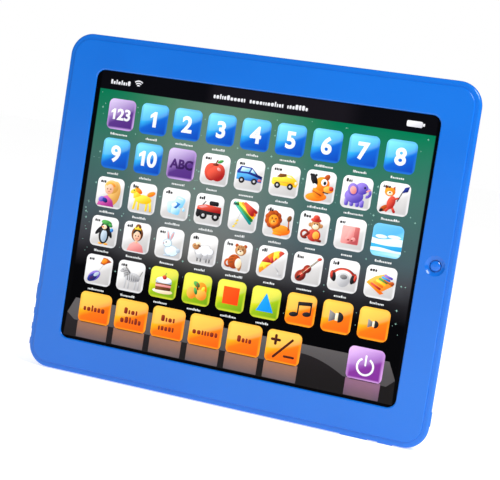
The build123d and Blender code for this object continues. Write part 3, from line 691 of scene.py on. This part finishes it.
def draw_sea(s):
    s.oval(-3.4, 1.8, 3.2, 1, "surf")
    s.oval(3.6, 2.4, 3.6, 0.9, "surf")
    s.slab(wave_outline(-3.6, 1, 0.7, 0.8), "surf")
    s.slab(wave_outline(-5.4, -2.4, 0.25, 2), "sea")
    s.slab(wave_outline(-6, -4.4, 0.4, 4), "surf")


def draw_penguin(s):
    s.pair(-1.6, 1.8, -6.9, 1.4, 0.6, "apricot")
    s.oval(-3.4, 0.4, 1.1, 3.2, "black", -38)
    s.oval(3.4, 0, 1.1, 3.4, "black", 26)
    s.oval(0, -2, 3.2, 4.9, "black")
    s.oval(0.1, -2.4, 2, 3.6, "mist")
    s.oval(0.4, 3, 2.7, 2.4, "black")
    s.oval(-0.2, 2.6, 1.5, 1.3, "cream")
    s.slab([(-2.4, 2.6), (-0.6, 3.1), (-0.6, 2.1)], "orange")
    s.oval(0.9, 5.2, 3.3, 1.4, "green", -8)
    s.oval(3.4, 4, 1.4, 0.9, "green", -30)
    s.oval(4.6, 1.4, 1, 1.1, "blue")


def draw_queen(s):
    s.slab([(-5, -8), (-3.8, -4.4), (-1.2, -2.6), (1.6, -2.6), (4.2, -4.4), (5.4, -8)], "pink")
    s.oval(0.2, 2, 3.6, 4.2, "brown")
    s.oval(0.4, 6.2, 1.7, 1.4, "brown")
    s.rounded(0.2, -2.2, 1.6, 2.4, 0.6, "skin")
    s.oval(0.2, 0.8, 2.3, 2.8, "skin")
    s.band(0.2, 1.8, 2.7, 1.7, "black", 10, 170)
    s.slab([(-1.8, 4.4), (-2, 6), (-1, 5.2), (0.2, 6.4), (1.4, 5.2), (2.4, 6), (2.2, 4.4)], "yellow")
    s.pair(-0.7, 1.1, 0.9, 0.3, 0.4, "black")
    s.band(0.2, 0, 0.9, 0.6, "rose", 200, 340)


def draw_rabbit(s):
    s.oval(1.6, -3.8, 4.4, 3.2, "mist")
    s.oval(1.8, -3.9, 3.8, 2.7, "surf")
    s.oval(5.8, -3.2, 1.3, 1.3, "mist")
    s.oval(-1.4, 4.6, 0.9, 2.9, "mist", 14)
    s.oval(1, 4.4, 0.9, 2.9, "mist", -18)
    s.oval(-1.3, 4.6, 0.4, 2.1, "pink", 14, lift=False)
    s.oval(1.1, 4.4, 0.4, 2.1, "pink", -18)
    s.oval(-1.2, 0.2, 2.8, 2.4, "mist")
    s.oval(-1.1, 0.1, 2.3, 1.9, "surf")
    s.oval(-2, 0.6, 0.35, 0.45, "black")
    s.oval(-3.3, -0.2, 0.4, 0.3, "rose")
    s.bar(-2.2, -6.6, 1.2, -6.6, 0.9, "mist")


def draw_sheep(s):
    for x in (-2.6, -0.6, 2.8, 4.6):
        s.bar(x, -3.6, x, -6.4, 0.9, "grey")
    for x, z in ((-2.6, -1.4), (-0.4, 0.4), (2.4, 0.8), (4.6, -0.6), (4.2, -2.8), (1.6, -3.4), (-1.4, -3.2)):
        s.oval(x, z, 2.2, 2, "silver")
    for x, z in ((-2.3, -1.2), (-0.2, 0.5), (2.4, 0.9), (4.4, -0.5), (1.4, -1.4)):
        s.oval(x, z, 1.9, 1.7, "white")
    s.oval(-4.4, 1.2, 2.1, 1.6, "tan", -24)
    s.oval(-3.2, 2.9, 1.4, 0.9, "cream")
    s.oval(-2.4, 1.9, 1.2, 0.5, "brown", -30)
    s.oval(-4.9, 1.6, 0.3, 0.35, "black")


def draw_tiger(s):
    s.band(-4.6, -4.4, 2.4, 1.3, "rust", 90, 330)
    s.oval(-1.2, -3.2, 3.8, 4, "rust", -18)
    s.oval(2.2, -5, 1.2, 3, "tan")
    s.oval(1.2, -3.8, 1.9, 2.8, "cream")
    for x, z in ((-3.6, -0.8), (-4, -2.4), (-4, -4)):
        s.bar(x, z, x + 1.9, z + 0.5, 0.45, "brown")
    s.pair(-0.8, 4.2, 5.8, 1, 1, "rust")
    s.oval(1.7, 3.4, 3.3, 2.9, "tan")
    for x in (0.6, 1.7, 2.8):
        s.bar(x, 4.8, x, 5.7, 0.4, "brown")
    s.oval(1.7, 2.2, 1.8, 1.3, "cream")
    s.oval(1.7, 2.9, 0.6, 0.4, "brown")
    s.pair(0.4, 3, 3.9, 0.4, 0.45, "black")


def draw_umbrella(s):
    s.bar(0.6, -0.6, 4.4, -4.4, 0.6, "silver")
    s.band(5.2, -5.2, 1.4, 0.8, "silver", -200, -20)
    for k in range(6):
        shade = ("red", "yellow", "orange")[k % 3]
        points = oval_outline(0.3, -0.3, 8.9, 4.9, 45, 30 * k, 30 * k + 30, steps=6)
        s.slab([(0.3, -0.3)] + points, shade)
    for place in (-0.55, 0.1, 0.62):
        x = 0.3 + 8 * place * cos(radians(45))
        z = -0.3 + 8 * place * sin(radians(45))
        s.oval(x - 1, z + 1, 1.7, 1, ("yellow", "red", "yellow")[round(place + 1)], 100)


def draw_violin(s):
    s.bar(0.8, 0.8, 5.6, 5.6, 0.8, "black")
    s.oval(6.1, 6.2, 1.3, 0.8, "red", 20)
    s.oval(-3.4, -4, 3.4, 2.8, "maroon", 48)
    s.oval(-1.8, -1.8, 2.4, 1.7, "maroon", 48)
    s.oval(0, 0, 2.4, 2.1, "maroon", 48)
    s.oval(-3, -3.4, 1.7, 1.2, "red", 48)
    s.oval(-0.2, -0.2, 1.1, 0.9, "red", 48)
    s.bar(-3.4, -3.5, 5.4, 5.5, 0.22, "cream")
    s.bar(-2.9, -1.6, -1.6, -2.9, 0.4, "brown")
    s.bar(-4.9, -5.5, -3.7, -4.2, 0.9, "black")


def draw_headphones(s):
    s.oval(0, -2.2, 3.6, 3.9, "silver")
    s.oval(0.2, -0.6, 2, 1.3, "grey")
    s.band(0, -0.8, 6.6, 5.3, "red", 12, 168, squash=0.72)
    s.band(0, -0.8, 6.9, 6.3, "maroon", 20, 160, squash=0.72)
    for side in (-1, 1):
        s.oval(side * 5.9, -0.6, 1.6, 2.7, "maroon", -8 * side)
        s.oval(side * 5.2, -1.4, 1.2, 2.4, "black", -8 * side)
        s.oval(side * 6.6, -0.2, 0.7, 1.7, "red", -8 * side)


def draw_xylophone(s):
    s.slab([(-7.6, -1), (0.6, -6.4), (2.6, -5.6), (-5.8, 1)], "orange")
    s.slab([(-3, 3), (2.6, 5), (7.2, -0.6), (1.6, -4.6), (-6.6, 0.2)], "apricot")
    for k, shade in enumerate(("red", "orange", "yellow", "green", "blue", "purple")):
        x = -4.4 + 1.35 * k
        z = -1.4 + 1.05 * k
        reach = 3.2 - 0.22 * k
        s.bar(x - 0.2, z + 0.2, x + reach + 1.4, z - reach + 1.2, 1.15, shade)
    s.bar(1.8, 1.6, 6.8, -0.6, 0.5, "rust")
    s.oval(6.4, 0.4, 1.2, 1, "rust")


def draw_yoyo(s):
    s.bar(-0.4, -1.6, 3.2, 4.4, 0.3, "silver")
    s.oval(-2.4, -3.6, 4.3, 2.6, "purple", 36)
    s.oval(-3.4, -4.6, 3.4, 1.9, "navy", 36)
    s.oval(-1, -2.4, 2, 1, "mist", 36)
    s.oval(-3.8, -4.8, 1.6, 0.9, "plum", 36)
    s.slab([(0.6, 4), (2.2, 7.6), (4.6, 7.4), (7.4, 5.8), (4.8, 4.6), (3, 3.4)], "rust")
    s.oval(3, 5.6, 1.9, 1.4, "orange", 20)


def draw_zebra(s):
    for x, lean in ((-2.8, -0.4), (-1, 0.2), (3.4, -0.2), (5, 0.4)):
        s.bar(x, -1.8, x + lean, -6.6, 1.1, "silver")
    s.oval(1.2, -0.4, 4.8, 2.6, "silver")
    s.slab([(-4, -1.2), (-5, 2.8), (-3.2, 4.4), (-0.6, 1.4)], "silver")
    s.oval(-5, 3, 2.1, 1.2, "silver", 30)
    for k in range(6):
        x = -2 + 1.35 * k
        s.bar(x, 1.4 - 0.08 * k * k, x + 0.3, -2, 0.42, "grey")
    for k in range(3):
        s.bar(-4.7 + 0.5 * k, 2.2 - 1 * k, -2.6 + 0.7 * k, 2.9 - 0.9 * k, 0.38, "grey")
    s.bar(-3.4, 4.8, -0.6, 2, 0.7, "grey")
    s.bar(5.8, 1, 7, 3.6, 0.4, "grey")
    s.oval(-5.2, 3.3, 0.3, 0.3, "black")


def draw_cake(s):
    s.oval(0, -4.8, 6.2, 1.4, "cream")
    s.slab([(-4.6, -4.4), (-4.6, 0.4), (4.8, 0.4), (4.8, -4)], "brown")
    s.slab([(-4.7, -2.4), (-4.7, -1.2), (4.9, -1), (4.9, -2.2)], "pink")
    s.slab([(-4.7, -0.4), (-4.8, 1.4), (0.6, 3.4), (5, 1.2), (4.9, -0.2)], "mist")
    s.oval(0.2, 1.6, 4.6, 1.8, "white")
    s.bar(0.4, 3.6, 1, 5.6, 0.35, "green")
    s.oval(0.3, 3.2, 1.3, 1.2, "red")


def draw_fruit(s):
    s.oval(2.2, -0.4, 3.8, 4.8, "orange", -14)
    s.oval(3, -2.6, 3.3, 3, "apricot")
    s.oval(-3, -2.4, 2.8, 3.3, "apricot", 10)
    s.oval(-0.4, 2.8, 2.2, 1.3, "green", -34)
    s.bar(-0.2, 3.2, 0.6, 0.2, 0.8, "brown")
    s.oval(-0.6, -1, 1, 2, "green", 20)
    s.oval(3.8, 0.8, 1, 1.4, "yellow", -20)


def draw_square(s):
    s.slab([(-4.7, -4.6), (4.7, -4.6), (4.7, 5), (-4.7, 5)], "shape_red")


def draw_triangle(s):
    s.slab([(-5, -4.8), (5, -4.8), (0, 5.4)], "shape_blue")


def draw_note(s):
    s.oval(-3.8, -3, 2.6, 1.3, "black", 8)
    s.oval(3.6, -1.9, 2.4, 1.3, "black", 8)
    s.slab([(-2, -2.8), (-1.2, -2.8), (-1.2, 3.4), (-2, 3)], "black")
    s.slab([(5.2, -1.8), (6, -1.8), (6, 4.2), (5.2, 4)], "black")
    s.slab([(-2, 2.2), (6, 3), (6, 5), (-2, 4.2)], "black")


def draw_loudspeaker(s, size):
    s.slab([(-4.6 * size, -3.4 * size), (-1 * size, -1.6 * size), (-1 * size, 1.6 * size),
            (-4.6 * size, 3.4 * size)], "grey")
    s.rounded(-0.1 * size, 0, 1.9 * size, 4.4 * size, 0.4, "cream")
    s.slab(oval_outline(0.7 * size, 0, 3.2 * size, 3 * size, 0, -90, 90), "black")


def draw_loud(s):
    draw_loudspeaker(s, 0.95)


def draw_soft(s):
    draw_loudspeaker(s, 0.7)


def draw_plus_minus(s):
    s.bar(-7, 3.6, -2.6, 3.6, 1.5, "symbol")
    s.bar(-4.8, 1.4, -4.8, 5.8, 1.5, "symbol")
    s.bar(-5, -5.8, 4.8, 4.8, 1.3, "symbol")
    s.bar(1.2, -4.6, 6.4, -4.6, 1.2, "symbol")


def draw_power(s):
    s.band(0, -1.2, 5, 3.9, "white", 118, 422)
    s.bar(0, -0.4, 0, 4.6, 1, "white")


# ---- laying out the screen ----
PICTURES = [
    [None] * 9,
    [None, None, None, draw_apple, draw_saloon, draw_roadster, draw_dog, draw_elephant, draw_fox],
    [draw_doll, draw_horse, draw_ice, draw_open_car, draw_kite, draw_lion, draw_monkey, draw_nose, draw_sea],
    [draw_penguin, draw_queen, draw_rabbit, draw_sheep, draw_tiger, draw_umbrella, draw_violin,
     draw_headphones, draw_xylophone],
    [draw_yoyo, draw_zebra, draw_cake, draw_fruit, draw_square, draw_triangle, draw_note,
     draw_loud, draw_soft],
]
LABELS = {(0, 0): "123", (1, 0): "9", (1, 1): "10", (1, 2): "ABC"}
LABELS.update({(0, column): str(column) for column in range(1, 9)})
FACES = {(0, 0): "purple_key", (1, 2): "purple_key", (2, 8): "sky_key"}
FACES.update({place: "blue_key" for place in LABELS if place not in FACES})
FACES.update({(4, column): "lime_key" for column in range(2, 6)})
FACES.update({(4, column): "orange_key" for column in range(6, 9)})


def draw_label(sheet, label):
    """Numerals or letters of a key; the numeral one has its own outline."""
    size = {1: 12.4, 2: 12, 3: 8.6}[len(label)]
    weight = 0.034 * size
    if label == "ABC":
        sheet.glyphs(label, 7, "plum", weight)
    elif label == "1":
        sheet.one(size, "white")
    elif label == "10":
        sheet.one(size, "white", -0.3 * size)
        sheet.glyphs("0", size, "white", weight, 0.19 * size)
    elif label == "123":
        sheet.one(size, "white", -0.56 * size)
        sheet.glyphs("23", size, "white", weight, 0.17 * size)
    else:
        sheet.glyphs(label, size, "white", weight)


def lay_key(row, column):
    """One picture key of the main grid, with its caption strokes."""
    picture = PICTURES[row][column]
    label = LABELS.get((row, column))
    name = "key_" + (picture.__name__.removeprefix("draw_") if picture else label)
    face = FACES.get((row, column), "white_key")
    sheet = Sheet(name, KEY_PITCH_X * (column - 4), TOP_ROW - KEY_PITCH_Z * row)
    sheet.slab(rounded_outline(0, 0, KEY_WIDTH, KEY_HEIGHT, KEY_CORNER), face)
    if label:
        draw_label(sheet, label)
    else:
        picture(sheet)
    if face == "white_key":
        plain_word(sheet, -4.6, 6.2, 3.8, 1.9, "black", 31 * row + column)
    if face != "orange_key":
        sheet.level = 0
        dice = random.Random(97 * row + column)
        plain_word(sheet, 0, -CAPTION_DROP, dice.uniform(6, 11), 1.35, "caption", 7 * row + 3 * column)
    sheet.finish()


def lay_dock_key(name, x, face, draw):
    sheet = Sheet(name, x, DOCK_ROW)
    sheet.level = DOCK_LEVEL
    sheet.slab(rounded_outline(0, 0, DOCK_WIDTH, DOCK_HEIGHT, KEY_CORNER), face)
    draw(sheet)
    sheet.finish()


def word_lines(*lines):
    """Picture of one or two lines of plain word strokes: each is (width, up)."""
    def draw(sheet):
        for k, (width, up) in enumerate(lines):
            plain_word(sheet, 0, up, width, 3.6, "word", 500 + 10 * k + round(width))
    return draw


def lay_dock():
    """Five word keys, the plus and minus key, and the power key on its own."""
    words = [[(14.5, -0.3)], [(9.4, 2.5), (12.8, -2.7)], [(9, 2.6), (11.2, -2.6)], [(15.5, -0.6)],
             [(8, 0)]]
    for k, lines in enumerate(words):
        lay_dock_key(f"dock_key_{k + 1}", DOCK_PLACES[k], "orange_key", word_lines(*lines))
    lay_dock_key("dock_key_plus_minus", DOCK_PLACES[-1], "orange_key", draw_plus_minus)
    lay_dock_key("dock_key_power", POWER_KEY, "power_key", draw_power)


def reflection(name, near, far):
    """Faded mirror image below a dock key."""
    look = Shader(name, 0.3, specular=0.08)
    layer, across, up = look.art()
    tone = look.ramp(up, [(0.05, far), (0.75, near), (1, near)])
    middle = look.step(look.size(look.minus(across, 0.5)), 0.5, 0.2)
    tone = look.mix(look.times(middle, 0.12), tone, rgb(150, 110, 100))
    cloud = look.noise(layer, 6, 2)
    look.set("Base Color", look.mix(look.times(cloud, 0.2), tone, rgb(90, 78, 80)))
    return look.material


def lay_shelf():
    """Cut-cornered shelf under the dock, its curved glare and the keys' reflections."""
    print_materials["orange_mirror"] = reflection("orange_mirror", rgb(150, 108, 88), rgb(98, 86, 88))
    print_materials["power_mirror"] = reflection("power_mirror", rgb(134, 94, 122), rgb(98, 78, 94))
    sheet = Sheet("dock_shelf")
    bottom = -76
    left = [(-93.8, SHELF_TOP), (-98, -62.6)]
    right = [(98.4, -63), (93.8, SHELF_TOP)]
    sheet.slab(left + [(-98.6, bottom), (98.8, bottom)] + right, "shelf_front")
    curve = [(45 + 25 * k / 8, -58.6 - 7.6 * (k / 8) ** 1.8) for k in range(9)]
    sheet.slab(left + [(-93, SHELF_BEND), (44, SHELF_BEND)] + curve + [(94, -67)] + right, "shelf")
    for x in DOCK_PLACES + [POWER_KEY]:
        shade = "power_mirror" if x == POWER_KEY else "orange_mirror"
        sheet.rounded(x, -70.9, DOCK_WIDTH - 0.6, 9.4, 0.4, shade, lift=False)
    sheet.finish()


def lay_header():
    """Plain marks in the header strip: a word, a signal fan, a title and a battery."""
    sheet = Sheet("header_marks", 0, HEADER_ROW)
    plain_word(sheet, -85, 0, 13, 2.6, "header_mark", 11)
    for k in range(3):
        reach = 1.1 + 1.25 * k
        sheet.band(-74.2, -1.4, reach + 0.35, reach - 0.35, "header_mark", 48, 132, lift=False)
    for x, width, seed in ((-18.4, 19, 12), (3.6, 20, 13), (21.8, 12.4, 14)):
        plain_word(sheet, x, 0, width, 2.7, "header_mark", seed)
    sheet.rounded(86.8, 0, 8.6, 3.2, 0.8, "header_mark", lift=False)
    sheet.rounded(91.8, 0, 1, 1.5, 0.3, "header_mark")
    sheet.finish()


def from_nearest(place, pitch):
    """Distance from the nearest whole multiple of the pitch."""
    return abs(place / pitch - round(place / pitch)) * pitch


def lay_stars():
    """Small sparkles scattered between the keys."""
    dice = random.Random(4)
    sheet = Sheet("star_specks")
    sheet.level = -0.5
    placed = 0
    while placed < STAR_COUNT:
        x = dice.uniform(-96, 96)
        z = dice.uniform(-40, 66)
        size = dice.choice((0.35, 0.35, 0.5, 0.65, 0.8))
        beside = from_nearest(x, KEY_PITCH_X)
        above = from_nearest(TOP_ROW - z, KEY_PITCH_Z)
        under_key = beside < KEY_WIDTH / 2 + 0.8 and above < KEY_HEIGHT / 2 + 3.6
        if under_key and abs(x) < 92:
            continue
        waist = size * 0.34
        points = []
        for k in range(8):
            reach = size if k % 2 == 0 else waist
            points.append((x + reach * cos(k * pi / 4), z + reach * sin(k * pi / 4)))
        sheet.slab(points, "star", lift=False)
        placed += 1
    sheet.finish()


# ---- CAD nodes ----
# Each finish: light and dark colour, roughness, scale of the grain, and its other settings.
MOULDED = {
    "case_gloss": ((8, 107, 208), (5, 102, 202), 0.16, 1400, 0.000004, 0.3),
    "case_grain": ((12, 104, 208), (8, 96, 198), 0.38, 2600, 0.00003),
    "cap_gloss": ((12, 110, 214), (8, 103, 208), 0.14, 1400, 0.000004, 0.3),
}
FLECKED = {
    "plated_steel": ((196, 196, 200), (150, 150, 154), 0.32, 700, {"metal": 1}),
    "nickel": ((214, 208, 192), (170, 164, 150), 0.28, 500, {"metal": 1}),
    "clear_film": ((226, 226, 214), (204, 206, 194), 0.25, 60, {"coat": 0.4}),
    "foot_rubber": ((44, 44, 48), (26, 26, 28), 0.75, 1800, {"depth": 0.00006}),
    "black_epoxy": ((30, 29, 31), (14, 14, 15), 0.4, 500, {"coat": 0.2}),
    "white_nylon": ((236, 232, 218), (216, 210, 194), 0.45, 400, {}),
    "speaker_paper": ((74, 68, 60), (44, 40, 36), 0.8, 1500, {"depth": 0.0001}),
    "dark_steel": ((74, 76, 80), (44, 46, 50), 0.4, 300, {"metal": 0.6}),
    "ferrite": ((86, 84, 84), (52, 51, 52), 0.6, 800, {}),
    "black_foam": ((40, 40, 42), (14, 14, 15), 0.9, 1600, {"depth": 0.0002}),
    "capacitor_sleeve": ((40, 46, 92), (22, 26, 60), 0.35, 300, {"coat": 0.3}),
    "red_wire": ((206, 36, 28), (168, 20, 18), 0.4, 400, {}),
    "black_wire": ((40, 40, 42), (20, 20, 22), 0.4, 400, {}),
    "white_wire": ((236, 236, 232), (206, 206, 202), 0.4, 400, {}),
    "silicone": ((226, 226, 222), (196, 196, 194), 0.5, 500, {}),
}
LOOKS = {
    "case_gloss": ["front_bezel"],
    "case_grain": ["rear_cover", "battery_door"],
    "cap_gloss": ["home_button"],
    "printed_background": ["printed_overlay"],
    "clear_film": ["membrane_top_film", "membrane_bottom_film"],
    "white_nylon": ["membrane_spacer", "tail_connector"],
    "foot_rubber": ["rubber_feet", "battery_door_screw_ring", "speaker_surround"],
    "plated_steel": ["case_screws", "battery_door_screw", "button_board_screws", "main_board_screws",
                     "speaker_screws"],
    "silicone": ["button_dome"],
    "circuit_board": ["button_board", "main_board"],
    "white_wire": ["button_wires"],
    "black_epoxy": ["main_chip", "board_transistor", "board_resistors"],
    "capacitor_sleeve": ["board_capacitors"],
    "nickel": ["board_resonator", "battery_contact_plates", "battery_springs"],
    "black_foam": ["speaker_gasket"],
    "dark_steel": ["speaker_frame"],
    "ferrite": ["speaker_magnet"],
    "speaker_paper": ["speaker_cone"],
    "red_wire": ["speaker_wire_red", "battery_wire_red"],
    "black_wire": ["speaker_wire_black", "battery_wire_black"],
    "dry_cell": ["battery_cell_1", "battery_cell_2", "battery_cell_3"],
}


def make_finishes():
    made = {build.__name__: build(build.__name__) for build in (circuit_board, dry_cell, printed_background)}
    for name, (light, dark, roughness, grain, *rest) in MOULDED.items():
        made[name] = moulded_plastic(name, rgb(*light), rgb(*dark), roughness, grain, *rest)
    for name, (light, dark, roughness, scale, settings) in FLECKED.items():
        made[name] = flecked(name, rgb(*light), rgb(*dark), roughness, scale, **settings)
    return made


def finish_cad(finishes):
    for name, nodes in LOOKS.items():
        for node in nodes:
            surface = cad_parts[node].data.materials
            surface.clear()
            surface.append(finishes[name])


def soft_ring(name, node, profile, material):
    """Turned soft piece in place of a CAD node.

    The profile holds (radius, distance from the back plane) pairs."""
    low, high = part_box(node)
    middle_x = (low.x + high.x) / 2
    middle_z = (low.z + high.z) / 2
    mesh = bmesh.new()
    turns = 48
    rings = []
    for k in range(turns):
        angle = 2 * pi * k / turns
        across = cos(angle) * MM
        up = sin(angle) * MM
        rings.append([mesh.verts.new((middle_x + radius * across, high.y + y * MM, middle_z + radius * up))
                      for radius, y in profile])
    for k in range(turns):
        near = rings[k - 1]
        far = rings[k]
        for step in range(len(profile)):
            if profile[step - 1][0] or profile[step][0]:
                mesh.faces.new((near[step - 1], near[step], far[step], far[step - 1]))
    bmesh.ops.remove_doubles(mesh, verts=mesh.verts[:], dist=1e-7)
    bmesh.ops.recalc_face_normals(mesh, faces=mesh.faces[:])
    piece = add_piece(name, mesh, [material])
    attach(piece, "case")
    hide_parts(node)
    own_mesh(piece)


def make_soft_pieces(finishes):
    dome = [(0, -2), (2.6, -2), (2.9, -1.2), (4, -0.7), (4.6, -0.6), (4.6, 0), (3.8, 0),
            (3.5, -0.3), (2.2, -0.9), (2, -1.3), (0, -1.3)]
    soft_ring("soft_button_dome", "button_dome", dome, finishes["silicone"])
    roll = [(14.6, -0.8), (14.6, -0.6), (15.2, -0.4), (16.2, 0), (16.9, -0.3), (17.1, -0.6),
            (16.6, -0.6), (16.2, -0.3), (15.2, -0.7)]
    soft_ring("soft_speaker_surround", "speaker_surround", roll, finishes["foot_rubber"])


# ---- studio ----
FLOOR_REACH = 60        # metres; far enough that no horizon shows
FLOOR_GLOW = 0.5
SKY_SEEN = 1
SKY_LIGHT = 0.56
SKY_REFLECTED = 0.08
CAMERA_PLACE = (258, -684, 45.2)    # millimetres from the middle of the bezel's face, as the aim is
CAMERA_AIM = (6.36, 0, -3.31)
CAMERA_LENS = 96.36
CAMERA_ROLL = 8.8         # degrees


def make_floor():
    look = Shader("studio_floor", 0.6, specular=0.1)
    tint = look.noise(look.place(), 3, 2)
    look.set("Base Color", look.mix(tint, rgb(252, 252, 252), rgb(*WHITE)))
    look.set("Emission Color", rgb(*WHITE))
    look.set("Emission Strength", FLOOR_GLOW)
    floor = bmesh.new()
    corners = [(-1, -1), (1, -1), (1, 1), (-1, 1)]
    floor.faces.new([floor.verts.new((x * FLOOR_REACH, y * FLOOR_REACH, 0)) for x, y in corners])
    add_piece("studio_floor", floor, [look.material])


def make_world():
    """White studio: full white to the camera, softer in the light it gives, dim in reflections."""
    world = bpy.data.worlds.new("studio")
    world.use_nodes = True
    bpy.context.scene.world = world
    tree = world.node_tree
    ground = tree.nodes["Background"]
    path = tree.nodes.new("ShaderNodeLightPath")
    seen = tree.nodes.new("ShaderNodeMix")
    seen.inputs[2].default_value = SKY_LIGHT
    seen.inputs[3].default_value = SKY_SEEN
    shiny = tree.nodes.new("ShaderNodeMix")
    shiny.inputs[3].default_value = SKY_REFLECTED
    tree.links.new(path.outputs["Is Camera Ray"], seen.inputs[0])
    tree.links.new(path.outputs["Is Glossy Ray"], shiny.inputs[0])
    tree.links.new(seen.outputs[0], shiny.inputs[2])
    tree.links.new(shiny.outputs[0], ground.inputs["Strength"])
    ground.inputs["Color"].default_value = (1, 1, 1, 1)


def make_light(name, place, power, size):
    """Round soft light aimed at the middle of the tablet; place and size are in metres."""
    centre = Vector((0, 0, CENTRE_Z))
    data = bpy.data.lights.new(name, "AREA")
    data.shape = "DISK"
    data.size = size
    data.energy = power
    light = bpy.data.objects.new(name, data)
    light.location = place
    light.rotation_euler = (centre - light.location).to_track_quat("-Z", "Y").to_euler()
    bpy.context.scene.collection.objects.link(light)


def make_camera():
    """Looks from the right and slightly above, rolled so that the tablet leans clockwise."""
    face = Vector((0, BEZEL_FRONT, CENTRE_Z))
    place = face + Vector(CAMERA_PLACE) * MM
    aim = face + Vector(CAMERA_AIM) * MM
    data = bpy.data.cameras.new("camera")
    data.lens = CAMERA_LENS
    data.sensor_width = 36
    camera = bpy.data.objects.new("camera", data)
    camera.location = place
    roll = Quaternion((0, 0, 1), radians(CAMERA_ROLL))
    camera.rotation_mode = "QUATERNION"
    camera.rotation_quaternion = (aim - place).to_track_quat("-Z", "Y") @ roll
    bpy.context.scene.collection.objects.link(camera)
    bpy.context.scene.camera = camera


all_finishes = make_finishes()
finish_cad(all_finishes)
make_soft_pieces(all_finishes)
for row_index in range(len(PICTURES)):
    for column_index in range(len(PICTURES[row_index])):
        lay_key(row_index, column_index)
lay_shelf()
lay_dock()
lay_header()
lay_stars()
make_floor()
make_world()
make_light("key_light", (0.72, -0.42, 0.86), 10, 0.5)
make_light("back_fill", (-0.8, 0.9, 0.7), 1.4, 0.8)
make_camera()
bpy.context.scene.view_settings.view_transform = "Standard"
